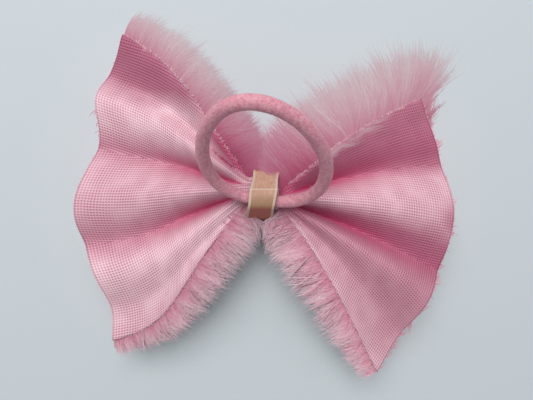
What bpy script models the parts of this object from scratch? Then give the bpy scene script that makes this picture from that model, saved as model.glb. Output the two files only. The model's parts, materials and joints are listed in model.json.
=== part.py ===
"""A long-pile faux-fur hair bow on an elastic ring, lying on its fur with its woven back up.

Two fan-shaped wings of backed fur meet in a pleated waist. Thread binds the waist, a velvet
ribbon is wrapped over the thread, and the ribbon holds the bottom of a fabric-covered elastic
ring that stands up from the back of the bow.

+X runs along the bow, +Y towards its upper edge and +Z away from the fur. The origin is under
the middle of the bow's box, on the plane that the fur rests on. Every length is in metres.
"""
import math

import bmesh
import bpy
import numpy as np
from mathutils import Matrix

# ---- gaps between pieces
GAP = 0.0003            # between two pieces that touch on the real bow
SWING_GAP = 0.0007      # between the ring's cord and the ribbon that it swings in
FLEX_GAP = 0.0004       # between the waist and the root of a wing

# ---- the ribbon
RIBBON_WIDTH = 0.0100
RIBBON_THICKNESS = 0.0007
RIBBON_TURNS = 1.22     # the outer end laps over the first layer
RIBBON_LAP_GAP = 0.0004
RIBBON_END = 80.0       # degrees from +Y towards +Z where the outer end lies
RIBBON_RISE = (0.60, 0.95)  # turns between which the ribbon rises onto its first layer

# ---- the waist
WAIST_SHOW = 0.0011     # how far the gathers show past each edge of the ribbon
WAIST_WIDTH = RIBBON_WIDTH + 2 * WAIST_SHOW
BUNDLE_BREADTH = 0.0180  # pleats side by side, along Y
BUNDLE_DEPTH = 0.0125   # pleats on top of each other, along Z
BUNDLE_Z = 0.0210       # middle of the bundle above the resting plane
PLEATS = 5              # folds seen in the end of the bundle
PLEAT_DEPTH = 0.0007
BUNDLE_SQUARENESS = 0.8  # 1 is an ellipse, and less is squarer

THREAD_DIAMETER = 0.0006
THREAD_TURNS = 4
THREAD_PITCH = 0.0012

# ---- the glue beside the cord
GLUE_RADIUS = 0.0011
GLUE_LENGTH = 0.0070

# ---- the elastic ring
CORD_DIAMETER = 0.0045
CORE_DIAMETER = 0.0028
RING_BREADTH = 0.0408   # across the ring, between centrelines
RING_HEIGHT = 0.0506    # along the ring, between centrelines
RING_FLATNESS = 1.25    # above 1, the ring lies flatter under the ribbon than an ellipse
RING_LEAN = 0.0045      # the far end of the ring leans this far towards -X
RING_TILT = 30.5        # degrees from upright, towards +Y
RING_YAW = -8.0         # degrees that the cord is turned from +X under the ribbon
CORD_Y = -0.0015        # where the cord crosses the waist
SEAM_LENGTH = 0.0016    # glued seam that closes the ring

# ---- the wings
BACKING_THICKNESS = 0.0010
WING_REACH = 0.0722     # from the waist's middle to the furthest point of an outer edge
UPPER_REACH = 0.0613    # from the waist's middle to the highest corner
LOWER_REACH = 0.0709    # from the waist's middle to the lowest corner
ROOT_Z = BUNDLE_Z + BUNDLE_DEPTH / 2 - BACKING_THICKNESS / 4  # middle of the cloth at a root
ROOT_BREADTH = BUNDLE_BREADTH - 1.5 * BACKING_THICKNESS
RIDGE_Z = 0.0300        # crest of the lobes
ROOT_DROP = 0.0030      # the sides of a wing's root curl down this far
FLEX_FORWARD = 12.0     # degrees that a wing may flex towards its fur

# Shares of a wing: of its u, from the waist to the outer edge, or of its v, from the lower
# cut edge to the upper one.
OPENED_AT = 0.30        # of u: the pleats have opened into lobes
DROOP_FROM = 0.35       # of u: where the corners start to droop
BUMP_SPAN = 0.13        # of v: half the width of the bump in an outer edge
LIP_FROM = 0.60         # of an edge lobe: where its lip starts to curl up
CREST_SPAN = 0.80       # the crest's rise and fall is this much of a half sine
CREASE_FADE = 0.45      # how much shallower a crease is at the outer edge
CREASE_ROUND = 0.30     # above 0, and larger for softer creases

# ---- the pile
PILE_DEPTH = 0.0255
PILE_FRINGE = 0.0020    # how far the pile shows past the outer edge
PILE_LEVELS = (0.20, 0.55, 1.00)  # shares of the way from roots to tips where the solid bends
PILE_LEAN = 1.3         # above 1, the pile leaves the backing square and leans out lower down
PILE_OPENED_AT = 0.25   # of u: the pile has its full depth and splay
PILE_AT_ROOT = 0.75     # its depth beside the waist, as a share of its full depth
PILE_ROOT_ROUND = 0.0020  # how softly it turns away from the waist
SPLAY_POWER = 6         # above 1, and larger to splay nearer to the cut edges only
TAPER_POWER = 3         # above 1, and larger to keep the full splay nearer to the corners
FRINGE_POWER = 4        # above 1, and larger to keep the fringe nearer to the outer edge

# A corner is given as shares of the reaches above, and a root as shares of half its breadth.
# A bow is how far a cut edge bends out, as a share of its length, and above 1, how much nearer
# to the corner it bends. The belly's two powers skew and narrow the outer edge's bulge, and a
# bump adds to it. A rim gives the lobe beside a cut edge: where it is full, how far it then
# dips and how far its lip curls up. Splay is how far the pile shows past a cut edge, less its
# taper towards the corner.
LEFT_WING = {
    "side": -1, "lower": (0.845, 0.821), "upper": (0.734, 1.000), "root": (-0.36, 1.00),
    "lower_bow": (0.092, 2.0), "upper_bow": (0.067, 1.55),
    "belly": (0.86, 3.47), "bump": (0.844, 0.166),
    "creases": (0.333, 0.642), "crease_depths": (0.0085, 0.0095),
    "lower_rim": (0.40, 0.0015, 0.0010), "upper_rim": (0.42, 0.0040, 0.0065),
    "lower_droop": 0.0085, "upper_droop": 0.0015,
    "lower_splay": 0.0140, "upper_splay": 0.0165,
    "lower_taper": 0.5, "upper_taper": 0.5,
}
RIGHT_WING = {
    "side": 1, "lower": (0.636, 1.000), "upper": (0.845, 0.615), "root": (-0.62, 0.35),
    "lower_bow": (-0.034, 0.67), "upper_bow": (0.043, 1.10),
    "belly": (1.04, 1.00), "bump": (0.77, 0.0),
    "creases": (0.385, 0.770), "crease_depths": (0.0085, 0.0100),
    "lower_rim": (0.28, 0.0035, 0.0025), "upper_rim": (0.95, 0.0, 0.0010),
    "lower_droop": 0.0075, "upper_droop": 0.0030,
    "lower_splay": 0.0165, "upper_splay": 0.0245,
    "lower_taper": 0.6, "upper_taper": 0.0,
}

WING_CELL = 0.0050      # length of a cell of the wings' grids along and across
WING_COLUMNS = round(WING_REACH / WING_CELL)
WING_ROWS = round((UPPER_REACH + LOWER_REACH) / WING_CELL)
CORD_STEPS, CORD_SIDES = 60, 12
RIBBON_STEPS = 60
OUTLINE_STEPS = 240     # points in the outline that the ribbon's belt is drawn round

FUR_PINK = (0.74, 0.42, 0.50)
BACKING_PINK = (0.79, 0.37, 0.49)
CORD_PINK = (0.66, 0.30, 0.38)
PEACH = (0.72, 0.45, 0.27)
THREAD_PINK = (0.70, 0.28, 0.40)
RUBBER_WHITE = (0.80, 0.77, 0.70)
GLUE_CLEAR = (0.82, 0.78, 0.66)


# ---- Blender helpers

def clear_scene():
    """Removes the scene's objects."""
    for thing in list(bpy.data.objects):
        bpy.data.objects.remove(thing, do_unlink=True)


def new_collection(name):
    """A collection linked to the scene."""
    group = bpy.data.collections.new(name)
    bpy.context.scene.collection.children.link(group)
    return group


def new_material(name, colour, roughness):
    """A plain Principled material."""
    material = bpy.data.materials.new(name)
    material.use_nodes = True
    shader = material.node_tree.nodes["Principled BSDF"]
    shader.inputs["Base Color"].default_value = (*colour, 1.0)
    shader.inputs["Roughness"].default_value = roughness
    shader.inputs["Metallic"].default_value = 0.0
    return material


def add_part(name, data, material, parent, group):
    """Puts a mesh or a curve in the bow's collection as a named piece on its parent."""
    part = bpy.data.objects.new(name, data)
    data.materials.append(material)
    part.parent = parent
    group.objects.link(part)
    return part


def add_pivot(name, location, rotation, parent, group):
    """An empty that carries the pieces of one moving body."""
    pivot = bpy.data.objects.new(name, None)
    pivot.empty_display_size = 0.01
    pivot.location = location
    pivot.rotation_euler = rotation
    pivot.parent = parent
    group.objects.link(pivot)
    return pivot


def solidify(part, thickness):
    """Gives an open surface its wall, half to each side."""
    wall = part.modifiers.new("wall", "SOLIDIFY")
    wall.thickness = thickness
    wall.offset = 0.0
    return wall


def fresh_grid(columns, rows):
    """A bmesh grid that remembers each point's u and v, which run from 0 to 1."""
    work = bmesh.new()
    bmesh.ops.create_grid(work, x_segments=columns, y_segments=rows, size=0.5)
    u_layer = work.verts.layers.float.new("u")
    v_layer = work.verts.layers.float.new("v")
    for vert in work.verts:
        vert[u_layer] = min(max(vert.co.x + 0.5, 0.0), 1.0)
        vert[v_layer] = min(max(vert.co.y + 0.5, 0.0), 1.0)
    return work


def move_onto(work, verts, surface):
    """Moves points to their places on surface(u, v)."""
    u_layer = work.verts.layers.float["u"]
    v_layer = work.verts.layers.float["v"]
    u = np.array([vert[u_layer] for vert in verts])
    v = np.array([vert[v_layer] for vert in verts])
    for vert, place in zip(verts, surface(u, v)):
        vert.co = place


def grid_mesh(name, columns, rows, surface):
    """An open sheet on surface(u, v), welded where the surface meets itself."""
    work = fresh_grid(columns, rows)
    move_onto(work, list(work.verts), surface)
    bmesh.ops.remove_doubles(work, verts=work.verts, dist=1e-6)
    bmesh.ops.recalc_face_normals(work, faces=work.faces)
    return finished(work, name)


def finished(work, name):
    """The bmesh as a smooth-shaded mesh."""
    mesh = bpy.data.meshes.new(name)
    work.to_mesh(mesh)
    work.free()
    mesh.shade_smooth()
    mesh.set_sharp_from_angle(angle=math.radians(50))
    return mesh


def wire_curve(name, points, diameter):
    """A round wire through the points, with filled ends."""
    curve = bpy.data.curves.new(name, "CURVE")
    curve.dimensions = "3D"
    curve.bevel_depth = diameter / 2
    curve.bevel_resolution = 2
    curve.use_fill_caps = True
    spline = curve.splines.new("POLY")
    spline.points.add(len(points) - 1)
    for knot, place in zip(spline.points, points):
        knot.co = (*place, 1.0)
    return curve


# ---- the wings' shape

def smooth_step(x):
    """0 below 0, 1 above 1, and a smooth rise between."""
    x = np.clip(x, 0.0, 1.0)
    return x * x * (3 - 2 * x)


def bowed(start, end, bow, t):
    """Points on a straight line from start to end, pushed sideways by a skewed half sine."""
    amount, skew = bow
    start, end = np.array(start), np.array(end)
    along = end - start
    aside = np.array([-along[1], along[0]])
    return start + np.outer(t, along) + np.outer(amount * np.sin(math.pi * t ** skew), aside)


def root_setback(drop):
    """How far out a point of the root lies when it is this much below the hinge."""
    return WAIST_WIDTH / 2 + FLEX_GAP + drop * math.tan(math.radians(FLEX_FORWARD))


def wing_plan(wing, u, v):
    """Plan of a wing: a Coons patch between its root, its two cut edges and its outer edge.

    u runs from the waist to the outer edge, v from the lower edge to the upper edge. The
    result is how far out each point lies and its Y."""
    lower = (wing["lower"][0] * WING_REACH, -wing["lower"][1] * LOWER_REACH)
    upper = (wing["upper"][0] * WING_REACH, wing["upper"][1] * UPPER_REACH)
    root_low, root_high = [
        (root_setback(ROOT_DROP), share * ROOT_BREADTH / 2) for share in wing["root"]]
    amount, skew = wing["lower_bow"]
    low_edge = bowed(root_low, lower, (-amount, skew), u)
    high_edge = bowed(root_high, upper, wing["upper_bow"], u)
    root = np.array(root_low) + np.outer(v, np.array(root_high) - np.array(root_low))
    root[:, 0] = root_setback(ROOT_DROP * (1 - np.sin(math.pi * v)))
    outer = np.array(lower) + np.outer(v, np.array(upper) - np.array(lower))
    skew, power = wing["belly"]
    belly = np.abs(np.sin(math.pi * v ** skew)) ** power
    outer[:, 0] += (WING_REACH - (lower[0] + upper[0]) / 2) * belly
    place, bump = wing["bump"]
    closed = np.sqrt(np.abs(np.sin(math.pi * v)))
    outer[:, 0] += bump * WING_REACH * closed * np.exp(-(((v - place) / BUMP_SPAN) ** 2))
    across, along = v[:, None], u[:, None]
    inner_corners = (1 - across) * np.array(root_low) + across * np.array(root_high)
    outer_corners = (1 - across) * np.array(lower) + across * np.array(upper)
    edges = (1 - across) * low_edge + across * high_edge + (1 - along) * root + along * outer
    return edges - (1 - along) * inner_corners - along * outer_corners


def edge_lobes(wing, v):
    """How far across each of the two edge lobes a point lies: 0 in its crease, 1 at its edge."""
    low_crease, high_crease = wing["creases"]
    lower = np.clip((low_crease - v) / low_crease, 0, 1)
    upper = np.clip((v - high_crease) / (1 - high_crease), 0, 1)
    return lower, upper


def lobe_profile(wing, v):
    """0 in the creases, 1 on the crest of each of the three lobes.

    The middle lobe is a half sine between its creases. An edge lobe is a quarter sine that
    stays full to its cut edge. All feet are rounded into the creases."""
    low_crease, high_crease = wing["creases"]
    arch = np.sin(math.pi * np.clip((v - low_crease) / (high_crease - low_crease), 0, 1))
    for across, rim in zip(edge_lobes(wing, v), (wing["lower_rim"], wing["upper_rim"])):
        arch = np.maximum(arch, np.sin(math.pi / 2 * np.clip(across / rim[0], 0, 1)))
    crest = math.hypot(1, CREASE_ROUND) - CREASE_ROUND
    return (np.hypot(arch, CREASE_ROUND) - CREASE_ROUND) / crest


def rim_rise(wing, u, v):
    """How far the cloth beside its cut edges rises over the crests, or falls below them.

    Past the crest of its lobe it dips, and then its lip curls up. Its corner droops."""
    rise = np.zeros_like(v)
    drooped = smooth_step((u - DROOP_FROM) / (1 - DROOP_FROM))
    rims = ((wing["lower_rim"], wing["lower_droop"]), (wing["upper_rim"], wing["upper_droop"]))
    for across, ((full, dip, lip), droop) in zip(edge_lobes(wing, v), rims):
        rise -= dip * smooth_step(2 * (across - full) / (1 - full))
        rise += lip * smooth_step((across - LIP_FROM) / (1 - LIP_FROM))
        rise -= droop * drooped * smooth_step(across)
    return rise


def wing_height(wing, u, v):
    """Height of the middle of the backing: lobes with creases that fan out of the waist."""
    crest = ROOT_Z + (RIDGE_Z - ROOT_Z) * np.sin(math.pi * CREST_SPAN * u)
    opened = smooth_step(u / OPENED_AT)
    low_depth, high_depth = wing["crease_depths"]
    crease = (low_depth + (high_depth - low_depth) * v) * (1 - CREASE_FADE * u)
    height = crest + opened * (rim_rise(wing, u, v) - crease * (1 - lobe_profile(wing, v)))
    return height - (1 - opened) * ROOT_DROP * (1 - np.sin(math.pi * v))


def wing_surface(wing, u, v):
    """Points in the middle of the backing."""
    plan = wing_plan(wing, u, v)
    height = wing_height(wing, u, v)
    return np.stack([wing["side"] * plan[:, 0], plan[:, 1], height], axis=1)


def edge_normals(wing):
    """Unit vectors in plan that point square out of the lower and of the upper cut edge."""
    found = []
    for corner, reach, turn in ((wing["lower"], -LOWER_REACH, -1), (wing["upper"], UPPER_REACH, 1)):
        along = np.array([corner[0] * WING_REACH, corner[1] * reach])
        aside = turn * np.array([-along[1], along[0]])
        found.append(aside / np.linalg.norm(aside))
    return found


def pile_level(wing, u, v, roots, share):
    """A level of the pile, from share 0 at its roots to 1 at its tips.

    The pile leans out past the cut edges and lies on the resting plane where it reaches it.
    It stays out of the space that the wing's root sweeps as it flexes."""
    opened = smooth_step(u / PILE_OPENED_AT)
    lower, upper = edge_normals(wing)
    leaning = share ** PILE_LEAN * opened
    far = u ** TAPER_POWER
    above = wing["upper_splay"] * (1 - wing["upper_taper"] * far) * v ** SPLAY_POWER
    below = wing["lower_splay"] * (1 - wing["lower_taper"] * far) * (1 - v) ** SPLAY_POWER
    tips = roots.copy()
    aside = np.outer(leaning * above, upper) + np.outer(leaning * below, lower)
    tips[:, 0] += wing["side"] * (aside[:, 0] + PILE_FRINGE * share * u ** FRINGE_POWER)
    tips[:, 1] += aside[:, 1]
    depth = PILE_DEPTH * (PILE_AT_ROOT + (1 - PILE_AT_ROOT) * opened)
    rest = np.maximum(roots[:, 2] - depth, 0.0)
    tips[:, 2] += (rest - roots[:, 2]) * share
    nearest = root_setback(ROOT_Z + BACKING_THICKNESS / 2 - tips[:, 2])
    clear = wing["side"] * tips[:, 0] - nearest
    clear = (clear + np.hypot(clear, PILE_ROOT_ROUND)) / 2
    tips[:, 0] = wing["side"] * (nearest + clear)
    return tips


def pile_mesh(name, wing):
    """The pile of a wing: its rooted face, drawn out level by level to its resting face."""
    work = fresh_grid(WING_COLUMNS, WING_ROWS)
    move_onto(work, list(work.verts), lambda u, v: wing_surface(wing, u, v))
    work.normal_update()
    root_layer = work.verts.layers.float_vector.new("root")
    for vert in work.verts:
        down = vert.normal if vert.normal.z < 0 else -vert.normal
        vert.co += (BACKING_THICKNESS / 2 + GAP) * down
        vert[root_layer] = vert.co
    region = list(work.faces)
    for share in PILE_LEVELS:
        grown = bmesh.ops.extrude_face_region(work, geom=region)["geom"]
        if share > PILE_LEVELS[0]:
            bmesh.ops.delete(work, geom=region, context="FACES_ONLY")
        verts = [item for item in grown if isinstance(item, bmesh.types.BMVert)]
        region = [item for item in grown if isinstance(item, bmesh.types.BMFace)]
        roots = np.array([vert[root_layer] for vert in verts])
        move_onto(work, verts, lambda u, v: pile_level(wing, u, v, roots, share))
    bmesh.ops.recalc_face_normals(work, faces=work.faces)
    return finished(work, name)


# ---- the waist's shape

def bundle_outline(turn, grow):
    """Section of the pleated waist, this much larger all round.

    A superellipse in Y and Z with a shallow furrow between each two pleats on its back and
    on its front. The furrows fade as the outline grows, because thread and ribbon span them."""
    angle = 2 * math.pi * turn
    c, s = np.cos(angle), np.sin(angle)
    shown = 1 - smooth_step(grow / GAP)
    furrow = PLEAT_DEPTH * shown * (0.5 - 0.5 * np.cos(math.pi * PLEATS * (c + 1)))
    half_y = BUNDLE_BREADTH / 2 + grow
    half_z = BUNDLE_DEPTH / 2 + grow - furrow
    y = half_y * np.sign(c) * np.abs(c) ** BUNDLE_SQUARENESS
    z = BUNDLE_Z + half_z * np.sign(s) * np.abs(s) ** BUNDLE_SQUARENESS
    return np.stack([y, z], axis=1)


def waist_curve(name):
    """The bundle of pleats as a flat outline with a thickness of the waist's width."""
    curve = bpy.data.curves.new(name, "CURVE")
    curve.dimensions = "2D"
    curve.fill_mode = "BOTH"
    curve.extrude = WAIST_WIDTH / 2
    outline = bundle_outline(np.arange(64) / 64, 0.0)
    spline = curve.splines.new("POLY")
    spline.points.add(len(outline) - 1)
    spline.use_cyclic_u = True
    for knot, (y, z) in zip(spline.points, outline):
        knot.co = (y, z, 0.0, 1.0)
    return curve


def thread_points():
    """Turns of thread that lie on the bundle, side by side along X."""
    turn = np.linspace(0, THREAD_TURNS, THREAD_TURNS * 24 + 1)
    ring = bundle_outline(turn, GAP + THREAD_DIAMETER / 2)
    along = (turn / THREAD_TURNS - 0.5) * THREAD_TURNS * THREAD_PITCH
    return np.column_stack([along, ring])


CORD_Z = BUNDLE_Z + BUNDLE_DEPTH / 2 + THREAD_DIAMETER + 2 * GAP + SWING_GAP + CORD_DIAMETER / 2


def turns_left(a, b, c):
    """True where the way from a through b to c turns anticlockwise."""
    return (b[0] - a[0]) * (c[1] - a[1]) - (b[1] - a[1]) * (c[0] - a[0]) > 0


def convex_outline(points):
    """The corners of the convex outline round all of the given points, in order."""
    points = sorted(map(tuple, points))
    outline = []
    for run in (points, points[::-1]):
        chain = []
        for point in run:
            while len(chain) > 1 and not turns_left(chain[-2], chain[-1], point):
                chain.pop()
            chain.append(point)
        outline += chain[:-1]
    return np.array(outline)


def cord_section(off, aside):
    """Outline of the cord under the ribbon, this far off it and moved aside along Y."""
    angle = np.linspace(0, 2 * math.pi, 48)
    radius = CORD_DIAMETER / 2 + SWING_GAP + off
    return np.column_stack([
        CORD_Y + aside + radius * np.cos(angle), CORD_Z + radius * np.sin(angle)])


def belt_outline(off):
    """A taut belt round the threaded bundle and the cord on its back, this far off both.

    The cord crosses the belt at a slant, so the belt also clears it at its two edges."""
    turns = np.arange(OUTLINE_STEPS) / OUTLINE_STEPS
    bundle = bundle_outline(turns, THREAD_DIAMETER + 2 * GAP + off)
    slant = RIBBON_WIDTH / 2 * math.tan(math.radians(abs(RING_YAW)))
    outline = convex_outline(np.concatenate([
        bundle, cord_section(off, slant), cord_section(off, -slant)]))
    ends = np.roll(outline, -1, axis=0)
    shares = np.arange(12)[:, None, None] / 12
    return (outline + shares * (ends - outline)).reshape(-1, 2)


def at_bearing(outline, bearing):
    """Points of an outline that lie at these angles from +Y round the bundle's middle."""
    spokes = outline - np.array([0.0, BUNDLE_Z])
    found = np.arctan2(spokes[:, 1], spokes[:, 0])
    reach = np.interp(bearing, *ordered(found, np.hypot(*spokes.T)), period=2 * math.pi)
    return np.stack([reach * np.cos(bearing), BUNDLE_Z + reach * np.sin(bearing)], axis=1)


def ordered(keys, values):
    """Keys and values sorted by key."""
    order = np.argsort(keys)
    return keys[order], values[order]


def ribbon_surface(u, v):
    """The middle of the ribbon: u across it, v along it from its inner to its outer end.

    It runs round the belt more than once and rises over its own first layer. It slants as
    the cord does, so that it crosses the cord square."""
    turn = RIBBON_TURNS * v
    bearing = math.radians(RIBBON_END) + 2 * math.pi * (RIBBON_TURNS - turn)
    inner = at_bearing(belt_outline(GAP + RIBBON_THICKNESS / 2), bearing)
    outer = at_bearing(
        belt_outline(GAP + 1.5 * RIBBON_THICKNESS + RIBBON_LAP_GAP), bearing)
    low_turn, high_turn = RIBBON_RISE
    lifted = smooth_step((turn - low_turn) / (high_turn - low_turn))[:, None]
    ring = inner + (outer - inner) * lifted
    slant = ring[:, 0] * math.tan(math.radians(-RING_YAW))
    return np.column_stack([(u - 0.5) * RIBBON_WIDTH + slant, ring])


# ---- the ring's shape

def ring_line(turn):
    """The cord's centreline in the ring's own plane: X across it, Z along it.

    Turn 0 is under the ribbon and 0.5 is the far end. It is an ellipse that rests flatter
    on its near end, and whose far end leans to one side."""
    angle = 2 * math.pi * turn
    rise = ((1 - np.cos(angle)) / 2) ** RING_FLATNESS
    across = RING_BREADTH / 2 * np.sin(angle) - RING_LEAN * rise ** 2
    return np.column_stack([across, np.zeros_like(turn), RING_HEIGHT * rise])


def seam_turn():
    """How far round the ring the glued seam and its gap reach from turn 0."""
    return (SEAM_LENGTH / 2 + GAP) / (math.pi * RING_BREADTH)


def sheath_surface(u, v):
    """The middle of the sheath's wall: u round the cord, v along it from seam to seam."""
    turn = seam_turn() + (1 - 2 * seam_turn()) * v
    step = 1e-4
    along = ring_line(turn + step) - ring_line(turn - step)
    along /= np.linalg.norm(along, axis=1)[:, None]
    aside = np.cross(along, (0.0, 1.0, 0.0))
    angle = (2 * math.pi * u)[:, None]
    radius = (CORD_DIAMETER + CORE_DIAMETER) / 4 + GAP / 2
    return ring_line(turn) + radius * (
        np.cos(angle) * aside + np.sin(angle) * np.array([0.0, 1.0, 0.0]))


def core_points():
    """The core's centreline, from one side of the seam to the other."""
    ends = seam_turn()
    return ring_line(ends + (1 - 2 * ends) * np.linspace(0, 1, CORD_STEPS + 1))


# ---- the pieces

def make_waist(pivot, group):
    """The pleated middle, its thread and the glue beside the cord."""
    pink = new_material("gathered_backing", BACKING_PINK, 0.85)
    gathers = add_part("waist_gathers", waist_curve("waist_gathers"), pink, pivot, group)
    gathers.rotation_euler = (math.radians(90), 0.0, math.radians(90))
    thread = wire_curve("binding_thread", thread_points(), THREAD_DIAMETER)
    add_part("binding_thread", thread, new_material("thread", THREAD_PINK, 0.6), pivot, group)
    glue = bmesh.new()
    bmesh.ops.create_uvsphere(glue, u_segments=14, v_segments=8, radius=GLUE_RADIUS)
    bmesh.ops.scale(glue, verts=glue.verts, vec=(GLUE_LENGTH / 2 / GLUE_RADIUS, 1.0, 1.0))
    bead = finished(glue, "glue_bead")
    bead = add_part("glue_bead", bead, new_material("glue", GLUE_CLEAR, 0.3), pivot, group)
    bead.location = (0.0, *glue_place())


def glue_place():
    """Y and Z of the bead: in the corner between the threads and the cord."""
    top = BUNDLE_Z + BUNDLE_DEPTH / 2 + THREAD_DIAMETER + 2 * GAP
    return (CORD_Y + CORD_DIAMETER / 2 + SWING_GAP + GLUE_RADIUS, top + GLUE_RADIUS)


def make_ribbon(pivot, group):
    """The velvet ribbon wrapped round the waist and the cord."""
    peach = new_material("velvet_ribbon", PEACH, 0.7)
    mesh = grid_mesh("centre_ribbon", 1, RIBBON_STEPS, ribbon_surface)
    ribbon = add_part("centre_ribbon", mesh, peach, pivot, group)
    solidify(ribbon, RIBBON_THICKNESS)


def make_wing(name, wing, pivot, group):
    """A wing's backing and its pile, on the pivot at the wing's root."""
    cloth = new_material(name + "_cloth", BACKING_PINK, 0.85)
    sheet = grid_mesh(
        name + "_backing", WING_COLUMNS, WING_ROWS, lambda u, v: wing_surface(wing, u, v))
    backing = add_part(name + "_backing", sheet, cloth, pivot, group)
    solidify(backing, BACKING_THICKNESS)
    fur = new_material(name + "_fur", FUR_PINK, 0.95)
    pile = add_part(name + "_pile", pile_mesh(name + "_pile", wing), fur, pivot, group)
    for part in (backing, pile):
        part.data.transform(Matrix.Translation(-pivot.location))


def make_ring(pivot, group):
    """The elastic ring: a covered rubber core, closed by a glued seam under the ribbon."""
    cloth = new_material("elastic_cover", CORD_PINK, 0.95)
    tube = grid_mesh("elastic_sheath", CORD_SIDES, CORD_STEPS, sheath_surface)
    sheath = add_part("elastic_sheath", tube, cloth, pivot, group)
    solidify(sheath, (CORD_DIAMETER - CORE_DIAMETER) / 2 - GAP)
    rubber = new_material("rubber", RUBBER_WHITE, 0.6)
    core = wire_curve("elastic_core", core_points(), CORE_DIAMETER)
    add_part("elastic_core", core, rubber, pivot, group)
    seam = bmesh.new()
    bmesh.ops.create_cone(
        seam, cap_ends=True, segments=CORD_SIDES, radius1=CORD_DIAMETER / 2,
        radius2=CORD_DIAMETER / 2, depth=SEAM_LENGTH)
    glue = new_material("seam", CORD_PINK, 0.5)
    plug = add_part("elastic_joint", finished(seam, "elastic_joint"), glue, pivot, group)
    plug.rotation_euler = (0.0, math.radians(90), 0.0)


def box_of(group):
    """Lowest and highest corners of the collection's evaluated pieces."""
    bpy.context.view_layer.update()
    graph = bpy.context.evaluated_depsgraph_get()
    places = []
    for part in group.objects:
        if part.type != "EMPTY":
            shown = part.evaluated_get(graph)
            mesh = shown.to_mesh()
            mesh.transform(part.matrix_world)
            places += [vert.co[:] for vert in mesh.vertices]
            shown.to_mesh_clear()
    places = np.array(places)
    return places.min(axis=0), places.max(axis=0)


def make_bow():
    """The whole bow, with the middle of its box over the origin."""
    clear_scene()
    group = new_collection("fur_hair_bow")
    middle = add_pivot("waist", (0.0, 0.0, 0.0), (0.0, 0.0, 0.0), None, group)
    make_waist(middle, group)
    make_ribbon(middle, group)
    for name, wing in (("left_wing", LEFT_WING), ("right_wing", RIGHT_WING)):
        root = (wing["side"] * (WAIST_WIDTH / 2 + FLEX_GAP), 0.0, ROOT_Z + BACKING_THICKNESS / 2)
        make_wing(name, wing, add_pivot(name + "_flex", root, (0.0, 0.0, 0.0), middle, group), group)
    turned = (math.radians(-RING_TILT), 0.0, math.radians(RING_YAW))
    make_ring(add_pivot("ring_swing", (0.0, CORD_Y, CORD_Z), turned, middle, group), group)
    low, high = box_of(group)
    middle.location = (-(low[0] + high[0]) / 2, -(low[1] + high[1]) / 2, 0.0)


make_bow()
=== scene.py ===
# %% [markdown]
# # A fur hair bow, seen from its back
#
# The real thing is a strip of long-pile faux fur, gathered in its middle into a bow and tied
# with thread. An elastic ring lies on the gathers and a velvet ribbon is wrapped round both.
# The bow lies on its fur, so what shows is the woven back of the fur, the pile that spills out
# past the cut edges, the ribbon, and the ring that stands up from it.
#
# The frame fixes where each body is and how it moves. This script dresses it, piece by piece.

# %% The frame
import json
import math

import bmesh
import bpy
import numpy as np
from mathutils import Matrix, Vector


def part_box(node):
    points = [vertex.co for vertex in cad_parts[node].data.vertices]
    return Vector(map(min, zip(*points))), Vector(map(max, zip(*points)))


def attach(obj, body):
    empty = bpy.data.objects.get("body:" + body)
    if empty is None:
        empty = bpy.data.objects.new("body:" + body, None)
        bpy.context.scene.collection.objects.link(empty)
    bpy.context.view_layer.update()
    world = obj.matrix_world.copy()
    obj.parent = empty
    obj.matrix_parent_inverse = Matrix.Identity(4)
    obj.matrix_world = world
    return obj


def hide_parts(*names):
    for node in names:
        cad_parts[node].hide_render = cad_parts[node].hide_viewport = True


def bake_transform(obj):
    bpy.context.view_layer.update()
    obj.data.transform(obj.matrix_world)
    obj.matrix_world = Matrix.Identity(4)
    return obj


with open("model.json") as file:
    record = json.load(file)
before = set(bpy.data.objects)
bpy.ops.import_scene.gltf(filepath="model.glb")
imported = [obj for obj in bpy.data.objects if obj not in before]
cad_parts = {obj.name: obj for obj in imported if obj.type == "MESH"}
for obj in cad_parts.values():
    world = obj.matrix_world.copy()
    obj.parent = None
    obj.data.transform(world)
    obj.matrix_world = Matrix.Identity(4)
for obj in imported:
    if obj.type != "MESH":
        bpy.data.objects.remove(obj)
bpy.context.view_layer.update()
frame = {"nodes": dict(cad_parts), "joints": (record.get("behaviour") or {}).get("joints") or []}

# %% Where things are
MM = 0.001
waist_low, waist_high = (np.array(corner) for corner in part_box("waist_gathers"))
WAIST = (waist_low + waist_high) / 2
hinge = {joint["name"]: joint for joint in frame["joints"]}
RING_PIVOT = np.array(hinge["ring_swing"]["pos_m"], float)
RING_AXIS = np.array(hinge["ring_swing"]["axis"], float)
WAIST_HALF = (waist_high[0] - waist_low[0]) / 2
BUNDLE_TOP = waist_high[2]
print("waist", np.round(WAIST / MM, 2), "ring pivot", np.round(RING_PIVOT / MM, 2))

# %% [markdown]
# ## Camera, floor and light
#
# The bow is small and was looked at from close by, straight down, so the ring's far end, which
# stands nearest to the eye, looks larger than its foot. A camera 18 cm up with a slightly wide
# lens gives the same crowding towards the edges. The light is a large soft window beyond the
# bow's upper edge and a bright room all round, which leaves the folds that face the other way
# in shade, made deep and saturated by painted shade in the cloth's colour.

# %% Camera
CAMERA_HEIGHT = 0.182
CAMERA_LENS_MM = 27.015
camera_data = bpy.data.cameras.new("eye")
camera_data.lens = CAMERA_LENS_MM
camera_data.sensor_width = 36.0
camera_data.clip_start = 0.001
camera = bpy.data.objects.new("eye", camera_data)
camera.location = (WAIST[0] + 0.00135, WAIST[1] - 0.0015, CAMERA_HEIGHT)
bpy.context.scene.collection.objects.link(camera)
bpy.context.scene.camera = camera
print("camera at", [round(x, 4) for x in camera.location])


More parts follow.
